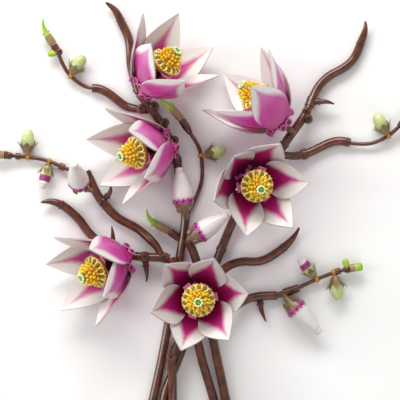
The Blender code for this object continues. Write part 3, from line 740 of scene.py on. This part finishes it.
def add_bar(name, route, radius, sides, seams):
    """A moulded bar with fine seams where its lengths meet."""
    stations = chamfered(way_through(route, radius))
    shape = Shape()
    shape.add_round(stations, "bark", sides)
    for share in seams:
        place, reach, along = stations[round(share * (len(stations) - 1))]
        shape.add_ring(place, along, reach + 0.25, 1.4, "bark", sides)
    add_fittings(shape, name, stations)
    shape.finish(f"{name}_bar", [name], "brown_plastic")


def horn_ring(shape, route, radius):
    """The collar where a branch turns into its horn."""
    stations = way_through(route, radius)
    for place, reach, along in stations:
        if reach > radius * 0.93:
            shape.add_ring(place, along, reach + 0.75, 2.2, "bark")
            shape.add_ring(place + along * 2.6, along, reach + 0.35, 1.4, "bark")
            return


def add_branch(name, route, radius):
    """A wavy branch with its end rings, fittings and the sleeves under its thorns."""
    stations = chamfered(way_through(route, radius))
    shape = Shape()
    shape.add_round(stations, "bark", TUBE_SIDES)
    if len(route[0]) > 3:
        horn_ring(shape, route, radius)
    else:
        place, reach, along = stations[2]
        shape.add_ring(place + along * 1.0, along, reach + 0.4, 2.4, "bark")
    place, reach, along = stations[-4]
    shape.add_ring(place, along, reach + 0.5, 2.6, "bark")
    add_fittings(shape, name, stations)
    for route in THORNS.values():
        near = nearest(stations, route[-1])
        if (near[0] - Vector(route[-1])).length < radius + 2:
            shape.add_ring(near[0], near[2], near[1] + 0.6, 6.4, "bark")
    shape.finish(f"{name}_bar", [name], "brown_plastic")


def add_thorn(name, route):
    """A curved thorn on its ring."""
    radii = (0.5, 1.5, 2.35, 2.2)
    shape = Shape()
    tapered = [(*point, radius) for point, radius in zip(route, radii)]
    shape.add_round(way_through(tapered, 1, 0.9), "bark", 20)
    stations = way_through(route, 1, 0.9)
    for share, extra in ((0.62, 3.0), (0.74, 2.7)):
        place, _, along = stations[round(share * (len(stations) - 1))]
        shape.add_ring(place, along, extra, 1.5, "bark", 22)
    shape.finish(f"{name}_horn", [name], "brown_plastic")


# ---------------------------------------------------------------- shoots and buds


def add_shoot(name, way):
    """Curved lime spike, double collar, sand barrel and brown end barrel."""
    tip, foot, collar, barrel, root = [Vector(point) for point in way]
    shape = Shape()
    bend = (foot - tip).cross(Vector((0, 0, 1))).normalized() * (foot - tip).length * 0.12
    middle = tip.lerp(foot, 0.5) + bend
    if name in CAPPED_SHOOTS:
        along = (collar - tip).normalized()
        shape.add_outline("lime_cap", tip, collar + along * 2.6, "lime", 24)
    else:
        spike = [(*tip, 0.35), (*middle, 1.15), (*foot, 1.9), (*collar, 2.1)]
        shape.add_round(way_through(spike, 1, 0.8), "lime", 20)
        along = (barrel - collar).normalized()
        shape.add_ring(collar, along, 3.5, 1.7, "lime")
        shape.add_ring(collar + along * 2.2, along, 3.1, 1.6, "lime")
    for stub, joint in LIME_STUBS.get(name, ()):
        shape.add_outline("lime_peg", stub, joint, "lime", 24)
    along = (barrel - collar).normalized()
    start = collar + along * 3.0
    length = (barrel - start).length
    shape.add_outline("sand_barrel", start, barrel, "barrel", 28)
    shape.add_ring(start + along * length * 0.45, along, 3.45, 0.5, "barrel")
    reach = (root - barrel).length
    along = (root - barrel).normalized()
    shape.add_outline("end_barrel", barrel + along * 0.2, root, "bark", 28)
    for share, extra in ((0.2, 3.45), (0.45, 3.3), (0.7, 3.0)):
        shape.add_ring(barrel + along * reach * share, along, extra, 0.9, "bark")
    shape.finish(f"{name}_piece", [name], "lime_plastic")


def lobed_calyx(shape, tip, base, shares, radii, lobes, finish, flare=0.0):
    """A cup of pointed lobes around the axis between two shares of it, counted from the base."""
    tip, base = Vector(tip), Vector(base)
    along = (tip - base).normalized()
    across = across_of(along)
    side = along.cross(across)
    length = (tip - base).length
    for lobe in range(lobes):
        points = []
        for skin in (0, 1):
            for row in range(LOBE_ROWS + 1):
                share = row / LOBE_ROWS
                place = base + along * length * (shares[0] + (shares[1] - shares[0]) * share)
                reach = radii[0] + (radii[1] - radii[0]) * math.sin(share * math.pi / 2)
                past = max(0.0, share - LOBE_SHOULDER)
                reach += skin * LOBE_THICKNESS + flare * past**1.5
                half = math.pi / lobes * 1.02 * (1 - (past / (1 - LOBE_SHOULDER)) ** 1.5)
                for column in range(LOBE_COLUMNS + 1):
                    angle = math.tau * lobe / lobes + half * (2 * column / LOBE_COLUMNS - 1) * 0.96
                    point = place + (across * math.cos(angle) + side * math.sin(angle)) * reach
                    point.z = max(point.z, 0.1)  # on top of the surface that the spray lies on
                    points.append(point)
        shape.add(points, sheet_faces(LOBE_ROWS, LOBE_COLUMNS), finish)


def add_white_bud(name, way):
    """Bottle-shaped bud: stepped tip, pink toothed collar, tan calyx with studs, bent neck."""
    tip, base, neck, root = [Vector(point) for point in way]
    shape = Shape()
    shares = [
        min(1.0, share / 0.78) for share, _ in OUTLINES["white_bottle"] for _ in range(BUD_SIDES)]
    shape.add_outline("white_bottle", tip, base, "white", BUD_SIDES, shares=shares)
    shape.add_outline("white_collar", tip, base, "pink", BUD_SIDES)
    lobed_calyx(shape, tip, base, (0.23, 0.31), (8.02, 8.05), 13, "pink")
    along = (base - tip).normalized()
    across = across_of(along)
    side = along.cross(across)
    length = (base - tip).length
    for tooth in range(BUD_TEETH):
        angle = math.tau * tooth / BUD_TEETH
        out = across * math.cos(angle) + side * math.sin(angle)
        place = tip + along * length * 0.76 + out * 7.9
        peg = [(place, 1.05, out), (place + out * 0.8, 1.05, out), (place + out * 0.95, 0.8, out)]
        shape.add_round(peg, "wine", 4)
    shape.add_outline("white_cup", tip, base, "calyx", 36)
    lobed_calyx(shape, tip, base, (0.0, 0.27), (4.2, 8.0), 5, "calyx")
    for stud in range(BUD_STUDS):
        angle = math.tau * (stud + 0.5) / BUD_STUDS
        out = (across * math.cos(angle) + side * math.sin(angle) + along * 0.35).normalized()
        place = tip + along * length * 0.89 + out * 6.2
        peg = [(place, 2.2, out), (place + out * 1.5, 2.2, out), (place + out * 1.75, 1.95, out)]
        shape.add_round(peg, "calyx", 24)
    stem = [(*(tip + along * length * 0.97), 3.4), (*base, 3.0), (*neck, 2.1), (*root, 1.9)]
    shape.add_round(way_through(stem, 1, 1.0), "calyx", 24)
    shape.finish(f"{name}_piece", [name], "white_plastic")


def add_clip(shape, aim):
    """The gold clip of a bud, around the twig where the bud's stalk ends."""
    twigs = [station for route in TWIGS.values() for station in way_through(route, TWIG_R)]
    place, _, along = nearest(twigs, aim)
    shape.add_ring(place, along, TWIG_R + 1.1, 2.6, "clip", 24)


def add_green_bud(name, way):
    """Pale green egg in a lobed tan calyx, on a gold clip around its twig."""
    tip, aim = [Vector(point) for point in way]
    shape = Shape()
    shape.add_outline("green_egg", tip, aim, "bud_green", 36)
    shape.add_outline("green_cup", tip, aim, "calyx", 32)
    lobed_calyx(shape, tip, aim, (0.22, 0.6), (2.6, 6.0), 5, "calyx", 5.0)
    add_clip(shape, aim)
    shape.add_ring(tip.lerp(aim, 0.8), (aim - tip).normalized(), 3.0, 1.1, "clip")
    shape.finish(f"{name}_piece", [name], "pale_green_plastic")


def add_opening_bud(name, way):
    """Half-open bud: white stepped tip through a wavy pink ring, green egg, tan calyx."""
    tip, aim = [Vector(point) for point in way]
    shape = Shape()
    shape.add_outline("opening_tip", tip, aim, "bud_white", 32)
    shape.add_outline("opening_ring", tip, aim, "pink", 40,
                      lambda angle, index: 1 + 0.045 * math.cos(6 * angle) * (index in (1, 2)))
    for share, reach, waves in ((0.3, 4.5, 5), (0.36, 4.75, 7)):
        band = ((-0.014, -0.2), (-0.01, 0), (0.01, 0), (0.014, -0.2))
        squiggle = [(share + shift, reach + drop) for shift, drop in band]
        shape.add_round(straight_way(tip, aim, squiggle), "wine", 42,
                        lambda angle, index, waves=waves: 1 + 0.03 * math.cos(waves * angle))
    along = (aim - tip).normalized()
    shape.add_ring(tip.lerp(aim, 0.41), along, 4.75, 0.7, "wine", 36)
    shape.add_outline("opening_egg", tip, aim, "bud_green", 36)
    shape.add_outline("opening_cup", tip, aim, "calyx", 32)
    lobed_calyx(shape, tip, aim, (0.2, 0.56), (2.4, 5.2), 5, "calyx", 3.0)
    add_clip(shape, aim)
    shape.finish(f"{name}_piece", [name], "pale_green_plastic")


# ---------------------------------------------------------------- blossoms


def blossom_frame(name):
    """Matrix of a blossom, base at its hub and Z along its axis, read from its nodes."""
    stamens = unique_points(f"{name}_stamens")
    middle = stamens.mean(axis=0)
    _, directions = np.linalg.eigh(np.cov((stamens - middle).T))
    axis = directions[:, 2]
    outer = unique_points(f"{name}_outer_petals")
    if np.dot(axis, middle - outer.mean(axis=0)) < 0:
        axis = -axis
    base = middle - axis * STAMEN_MEAN_HEIGHT * MM
    arms = unique_points(f"{name}_inner_petals") - base
    arms = arms - np.outer(arms @ axis, axis)
    first = arms[np.argmax((arms**2).sum(axis=1))]
    toward = Vector(first).normalized()
    up = Vector(axis)
    side = up.cross(toward).normalized()
    toward = side.cross(up)
    turned = Matrix((toward, side, up)).transposed().to_4x4()
    return Matrix.Translation(Vector(base)) @ turned


def petal_half_width(share, widest):
    """Leaf outline: narrow root, widest past the middle, almost straight to a sharp tip."""
    if share < PETAL_WIDEST:
        swell = math.sin(math.pi / 2 * share / PETAL_WIDEST) ** 0.8
        return max(HUB_HALF_SIDE, widest * swell)
    return widest * (1 - ((share - PETAL_WIDEST) / (1 - PETAL_WIDEST)) ** 1.75)


def petal_place(share, across, side, inset, blade):
    """A point of the petal along +X; blade is its half width, trough and thickness."""
    widest, depth, thickness = blade
    radius = HUB_R - inset + (PETAL_REACH - HUB_R) * share
    height = PETAL_RISE * share**PETAL_CURL
    slope = PETAL_RISE * PETAL_CURL * share ** (PETAL_CURL - 1) / (PETAL_REACH - HUB_R)
    inward = Vector((-slope, 0, 1)).normalized()
    width = PETAL_POINT if share >= 1 else petal_half_width(share, widest)
    fold = abs(across) ** 1.15 * (0.75 + 0.25 * abs(across))
    trough = depth * fold * (width / widest) * min(1, share / 0.3)
    return Vector((radius, across * width, height)) + inward * (trough + side * thickness / 2)


def petal_mesh(name, matrix, inset, blade):
    """One petal: a creased blade with a face, a back and a bare rim greyed with painted shade."""
    points, shares, spreads = [], [], []
    for side in (1, -1):
        for row in range(PETAL_ROWS + 1):
            share = row / PETAL_ROWS
            for column in range(PETAL_COLUMNS + 1):
                across = 2 * column / PETAL_COLUMNS - 1
                points.append(matrix @ (petal_place(share, across, side, inset, blade) * MM))
                shares.append(share)
                spreads.append(across)
    faces = sheet_faces(PETAL_ROWS, PETAL_COLUMNS)
    cells = PETAL_ROWS * PETAL_COLUMNS
    marks = [0, 1] * cells + [2] * (len(faces) - 2 * cells)
    return to_mesh(name, points, faces, ["petal_face", "petal_back", "shaded_petal_rim"], marks,
                   {"share": shares, "across": spreads})


def add_petals(name, blade):
    """Six petals in two whorls of three around the hub."""
    place = blossom_frame(name)
    for whorl, lift, inset, offset in WHORLS:
        node = f"{name}_{whorl}_petals"
        for third in range(3):
            turn = Matrix.Rotation(offset + third * math.tau / 3, 4, "Z")
            matrix = place @ Matrix.Translation((0, 0, lift * MM)) @ turn
            made = petal_mesh(f"{name}_{whorl}_petal_{third + 1}", matrix, inset, blade)
            bevel = made.modifiers.new("rim", "BEVEL")
            bevel.width = 0.28 * MM
            bevel.segments = 2
            bevel.limit_method = "ANGLE"
            bevel.angle_limit = math.radians(50)
            hand_over(made, [node])


def finger(root, tip, thick, sides=7):
    """A stamen finger: tapered, with a rounded tip. Returns stations and their shares."""
    along = (tip - root).normalized()
    length = (tip - root).length
    stations = [(root + along * length * share, thick * scale, along) for share, scale in FINGER]
    shares = [share for share, _ in FINGER for _ in range(sides)]
    return stations, shares


def add_stamens(name):
    """Ribbed pale ring with olive pockets of painted shade, crowns of yellow fingers, and the pale
    pistil.
    """
    place = blossom_frame(name)

    def into(radius, angle, height):
        point = Vector((radius * math.cos(angle), radius * math.sin(angle), height))
        return (place @ (point * MM) - LAYOUT_ZERO) / MM

    shape = Shape()
    axis = (into(0, 0, 1) - into(0, 0, 0)).normalized()

    def turned(outline, finish, sides):
        stations = [(into(0, 0, height), radius, axis) for height, radius in outline]
        shape.add_round(stations, finish, sides)

    turned([(4.9, 3.9), (18.0, 4.1), (21.0, 5.4)], "wine", 28)
    ring = [(20.6, 5.0), (23.0, 8.2), (26.4, 11.6), (28.2, 12.9), (29.0, 12.9), (29.4, 12.2),
            (31.0, 8.0)]
    turned(ring, "stamen_rim", 56)
    # Amber cone inside the fingers: painted shade seen between them
    turned([(30.4, 8.4), (33.0, 7.4), (36.5, 5.8), (39.5, 4.4), (41.6, 2.6)], "stamen_core", 42)
    for index in range(POCKETS):
        angle = index * math.tau / POCKETS
        inner, outer = into(8.4, angle, 31.1), into(12.3, angle, 29.5)
        way = (outer - inner).normalized()
        stations = [(inner.lerp(outer, share), radius, way) for share, radius in POCKET]
        # Olive pocket: painted shade in the hollow between two ribs
        shape.add_round(stations, "stamen_pocket", 14)
        rib = angle + math.tau / POCKETS / 2
        stations, shares = finger(into(7.4, rib, 31.9), into(13.0, rib, 30.0), 0.95)
        # Rib: painted shade at its root, a painted highlight at its tip
        shape.add_round(stations, "stamen_rim", 7, shares=shares)
        for hand in (-1, 1):
            edge = into(13.35, rib + hand * 0.13, 28.9)
            stations, shares = finger(into(11.4, rib, 29.9), edge, 0.6)
            shape.add_round(stations, "stamen_rim", 7, shares=shares)
    for row, (count, offset, (root_r, root_h), (tip_r, tip_h), thick) in enumerate(TIERS):
        for index in range(count):
            angle = (index + offset) * math.tau / count
            sway = math.sin(index * 2.4 + row * 1.7)
            lean = angle + 0.09 * math.cos(index * 3.1 + row)
            tip = into(tip_r + 0.5 * sway, lean, tip_h + 0.7 * sway)
            stations, shares = finger(into(root_r, angle, root_h), tip, thick)
            # Yellow finger: darker at the root as painted shade, paler at the tip as a painted
            # highlight
            shape.add_round(stations, "stamen", 7, shares=shares)
    turned([(38.0, 2.4), (41.6, 2.7), (42.3, 3.3), (43.4, 3.4), (43.8, 2.8)], "pistil", 30)
    turned([(42.0, 3.2), (42.2, 3.55), (42.6, 3.55), (42.8, 3.2)], "pistil_dot", 30)
    for index in range(9):
        angle = index * math.tau / 9
        shape.add_ball(into(3.0, angle, 43.9), 1.05, "pistil", 12)
    turned([(43.6, 2.1), (44.3, 2.1), (44.5, 1.8)], "pistil_dot", 24)
    for index in range(3):
        shape.add_ball(into(0.9, index * math.tau / 3, 44.5), 0.42, "pistil", 8)
    shape.finish(f"{name}_stamen_crowns", [f"{name}_stamens"], "yellow_plastic")


def side_bar(inner, outer, side, half_width, thickness):
    """Points and faces of a small flat clip between two places, wide along side."""
    along = (outer - inner).normalized()
    rise = along.cross(side).normalized() * thickness / 2
    points = [
        end + side * hand * half_width + rise * turn
        for end in (inner, outer) for hand in (-1, 1) for turn in (-1, 1)
    ]
    faces = [(0, 2, 3, 1), (4, 5, 7, 6), (0, 1, 5, 4), (2, 6, 7, 3), (0, 4, 6, 2), (1, 3, 7, 5)]
    return points, faces


def add_hub(name):
    """Hub plate and brown stalk, and the two-holed foot and the pink clip of each petal."""
    place = blossom_frame(name)

    def into(point):
        return (place @ (Vector(point) * MM) - LAYOUT_ZERO) / MM

    shape = Shape()
    axis = (into((0, 0, 1)) - into((0, 0, 0))).normalized()
    plate = [(-1.4, 6.0), (-1.1, 8.6), (-0.6, 9.4), (1.2, 9.4), (2.6, 7.6), (5.0, 7.0), (6.0, 5.4)]
    shape.add_round([(into((0, 0, height)), radius, axis) for height, radius in plate], "wine", 36)
    for sixth in range(6):
        angle = sixth * math.tau / 6
        out = Vector((math.cos(angle), math.sin(angle), 0))
        side = Vector((-out.y, out.x, 0))
        lift = Vector((0, 0, -0.4 + (WHORL_LIFT if sixth % 2 == 0 else 0)))
        inset = WHORL_INSET if sixth % 2 == 0 else 0
        for hand in (-1, 1):
            foot = into(out * (7.6 - inset) + side * hand * FOOT_SIDE + lift)
            end = into(out * (13.0 - inset) + side * hand * FOOT_SIDE + lift - FOOT_DROP)
            way = (end - foot).normalized()
            thick = min(FOOT_R, foot.z - 0.4, end.z - 0.4)  # stays above the floor
            ends = [(foot, thick, way), (foot.lerp(end, 0.5), thick, way), (end, thick, way)]
            shape.add_round(chamfered(ends, 0.3), "magenta", 22)
            # Pale pink band at the end of the foot: partly a painted highlight on its rim
            shape.add_ring(end - way * 0.35, way, thick + 0.25, 0.8, "pink_clip", 22)
            hole = [(end - way * 0.3, thick * 0.67, way), (end + way * 0.16, thick * 0.67, way)]
            shape.add_round(hole, "foot_hole", 16)
        inner = into(out * (8.6 - inset * 0.5) + Vector((0, 0, 23.6)))
        outer = into(out * (15.2 - inset) + Vector((0, 0, 26.4)))
        flat = side_bar(inner, outer, (into(side) - into((0, 0, 0))).normalized(), 3.2, 1.1)
        shape.add(*flat, "pink_clip")
    stalk = [(*into((0, 0, -0.8)), 3.0), (*into((0, 0, -2.6)), 2.8)]
    stalk += [(*point, 2.6) for point in STALKS[name]]
    shape.add_round(way_through(stalk, 1, 1.2), "bark", 24)
    shape.finish(f"{name}_hub", [f"{name}_outer_petals"], "brown_plastic")


# ---------------------------------------------------------------- add-on


def length_property(name, description, default, least):
    """A length for the panel; default and least are in millimetres."""
    return bpy.props.FloatProperty(name=name, description=description, default=default * MM,
                                   min=least * MM, unit="LENGTH", precision=5)


def colour_property(name, description, default):
    """A colour for the panel; default is sRGB hex."""
    return bpy.props.FloatVectorProperty(name=name, description=description, subtype="COLOR",
                                         size=4, min=0, max=1, default=linear(default))


class MagnoliaSizes(bpy.types.PropertyGroup):
    """Sizes of the spray that a user would change."""

    tube_radius: length_property("Tube radius", "Radius of stems and branches", TUBE_R, 1.0)
    twig_radius: length_property("Twig radius", "Radius of the thin bars", TWIG_R, 0.5)
    petal_half_width: length_property(
        "Petal half width", "Half of a petal's widest part", 15.6, 4.0)
    petal_trough: length_property(
        "Petal trough", "How far a petal's edges rise over its crease", 4.0, 0.0)
    petal_thickness: length_property("Petal thickness", "Thickness of a petal", 1.2, 0.3)


class MagnoliaColours(bpy.types.PropertyGroup):
    """Colours of the spray that a user would change."""

    bark_light: colour_property("Bark, light", "Lighter tone of the brown bars", "70381F")
    bark_dark: colour_property("Bark, dark", "Darker tone of the brown bars", "3E1B0D")
    petal_print: colour_property(
        "Petal print", "Magenta of the print on the petals' faces", "B81C70")
    petal_back: colour_property(
        "Petal back print", "Magenta of the print on the petals' backs", "BE1E86")
    petal_white: colour_property("Petal white", "Bare margin of the petals", "EDE8E4")


class MAGNOLIA_OT_stems(bpy.types.Operator):
    """Build the long stems"""

    bl_idname = "magnolia.stems"
    bl_label = "Stems"

    def execute(self, context):
        radius = context.scene.magnolia_sizes.tube_radius / MM
        for name, route in STEMS.items():
            add_bar(name, route, radius, TUBE_SIDES, STEM_SEAMS)
        return {"FINISHED"}


class MAGNOLIA_OT_branches(bpy.types.Operator):
    """Build the wavy branches with their horns"""

    bl_idname = "magnolia.branches"
    bl_label = "Branches"

    def execute(self, context):
        radius = context.scene.magnolia_sizes.tube_radius / MM
        for name, route in BRANCHES.items():
            add_branch(name, route, radius)
        return {"FINISHED"}


class MAGNOLIA_OT_twigs(bpy.types.Operator):
    """Build the thin twigs and the thorns"""

    bl_idname = "magnolia.twigs"
    bl_label = "Twigs and thorns"

    def execute(self, context):
        radius = context.scene.magnolia_sizes.twig_radius / MM
        for name, route in TWIGS.items():
            add_bar(name, route, radius, TWIG_SIDES, ())
        for name, route in THORNS.items():
            add_thorn(name, route)
        return {"FINISHED"}


class MAGNOLIA_OT_shoots(bpy.types.Operator):
    """Build the lime shoots"""

    bl_idname = "magnolia.shoots"
    bl_label = "Shoots"

    def execute(self, context):
        for name, way in SHOOTS.items():
            add_shoot(name, way)
        return {"FINISHED"}


class MAGNOLIA_OT_buds(bpy.types.Operator):
    """Build the white, green and opening buds"""

    bl_idname = "magnolia.buds"
    bl_label = "Buds"

    def execute(self, context):
        for name, way in WHITE_BUDS.items():
            add_white_bud(name, way)
        for name, way in GREEN_BUDS.items():
            add_green_bud(name, way)
        for name, way in OPENING_BUDS.items():
            add_opening_bud(name, way)
        return {"FINISHED"}


class MAGNOLIA_OT_blossoms(bpy.types.Operator):
    """Build the petals, stamens and hubs of the blossoms"""

    bl_idname = "magnolia.blossoms"
    bl_label = "Blossoms"

    def execute(self, context):
        sizes = context.scene.magnolia_sizes
        blade = (sizes.petal_half_width / MM, sizes.petal_trough / MM, sizes.petal_thickness / MM)
        for name in STALKS:
            add_petals(name, blade)
            add_stamens(name)
            add_hub(name)
        return {"FINISHED"}


class MAGNOLIA_OT_stage(bpy.types.Operator):
    """Build the pale floor, the soft light and the camera"""

    bl_idname = "magnolia.stage"
    bl_label = "Stage"

    def execute(self, context):
        add_floor()
        add_lights()
        add_camera()
        return {"FINISHED"}


def add_floor():
    """Plain pale floor, a matt painted board."""
    corners = [(x * FLOOR_HALF, y * FLOOR_HALF, 0) for x, y in ((-1, -1), (1, -1), (1, 1), (-1, 1))]
    mesh = bpy.data.meshes.new("floor")
    mesh.from_pydata(corners, [], [(0, 1, 2, 3)])
    material = bpy.data.materials.new("Painted board, matt white")
    material.use_nodes = True
    shader = material.node_tree.nodes["Principled BSDF"]
    shader.inputs["Base Color"].default_value = linear("F6F5F3")
    shader.inputs["Roughness"].default_value = 0.9
    shader.inputs["Specular IOR Level"].default_value = 0.1
    mesh.materials.append(material)
    floor = bpy.data.objects.new("floor", mesh)
    bpy.context.scene.collection.objects.link(floor)


def add_lights():
    """Three soft panels around the spray, in a dim white room."""
    world = bpy.context.scene.world or bpy.data.worlds.new("studio")
    bpy.context.scene.world = world
    world.use_nodes = True
    background = world.node_tree.nodes["Background"]
    background.inputs["Color"].default_value = (1, 1, 1, 1)
    background.inputs["Strength"].default_value = ROOM_STRENGTH
    aim = Vector((0, 0, 0.02))
    for name, place, width, depth, power in PANELS:
        light = bpy.data.lights.new(name, "AREA")
        light.shape = "RECTANGLE"
        light.size = width
        light.size_y = depth
        light.energy = power
        lamp = bpy.data.objects.new(name, light)
        lamp.location = place
        lamp.rotation_euler = (aim - Vector(place)).to_track_quat("-Z", "Y").to_euler()
        bpy.context.scene.collection.objects.link(lamp)
    bpy.context.scene.view_settings.view_transform = "Standard"


def add_camera():
    """Straight above the layout's zero, far off through a long lens."""
    camera = bpy.data.cameras.new("camera")
    camera.sensor_width = SENSOR
    camera.lens = SENSOR * CAMERA_HEIGHT / FRAME_WIDTH
    camera.clip_end = 20
    eye = bpy.data.objects.new("camera", camera)
    eye.location = (LAYOUT_ZERO.x, LAYOUT_ZERO.y, FRAMED_LEVEL + CAMERA_HEIGHT)
    bpy.context.scene.collection.objects.link(eye)
    bpy.context.scene.camera = eye


class MAGNOLIA_PT_panel(bpy.types.Panel):
    """Lists the parts of the spray in the order in which they are built"""

    bl_idname = "MAGNOLIA_PT_panel"
    bl_label = "Magnolia Spray"
    bl_space_type = "VIEW_3D"
    bl_region_type = "UI"
    bl_category = "Magnolia"

    def draw(self, context):
        layout = self.layout
        for group in (context.scene.magnolia_sizes, context.scene.magnolia_colours):
            for key in group.__annotations__:
                layout.prop(group, key)
        for operator in OPERATORS:
            layout.operator(operator.bl_idname)


OPERATORS = (
    MAGNOLIA_OT_stems, MAGNOLIA_OT_branches, MAGNOLIA_OT_twigs, MAGNOLIA_OT_shoots,
    MAGNOLIA_OT_buds, MAGNOLIA_OT_blossoms, MAGNOLIA_OT_stage,
)
CLASSES = (MagnoliaSizes, MagnoliaColours, *OPERATORS, MAGNOLIA_PT_panel)


def register():
    """Registers the classes and hangs the groups of sizes and colours on the scene."""
    for kind in CLASSES:
        bpy.utils.register_class(kind)
    bpy.types.Scene.magnolia_sizes = bpy.props.PointerProperty(type=MagnoliaSizes)
    bpy.types.Scene.magnolia_colours = bpy.props.PointerProperty(type=MagnoliaColours)


def unregister():
    """Takes back what register did."""
    del bpy.types.Scene.magnolia_colours
    del bpy.types.Scene.magnolia_sizes
    for kind in reversed(CLASSES):
        bpy.utils.unregister_class(kind)


def main():
    """Builds the whole spray and its stage."""
    register()
    make_finishes(bpy.context.scene.magnolia_colours)
    bpy.ops.magnolia.stems()
    bpy.ops.magnolia.branches()
    bpy.ops.magnolia.twigs()
    bpy.ops.magnolia.shoots()
    bpy.ops.magnolia.buds()
    bpy.ops.magnolia.blossoms()
    bpy.ops.magnolia.stage()


if __name__ == "__main__":
    main()
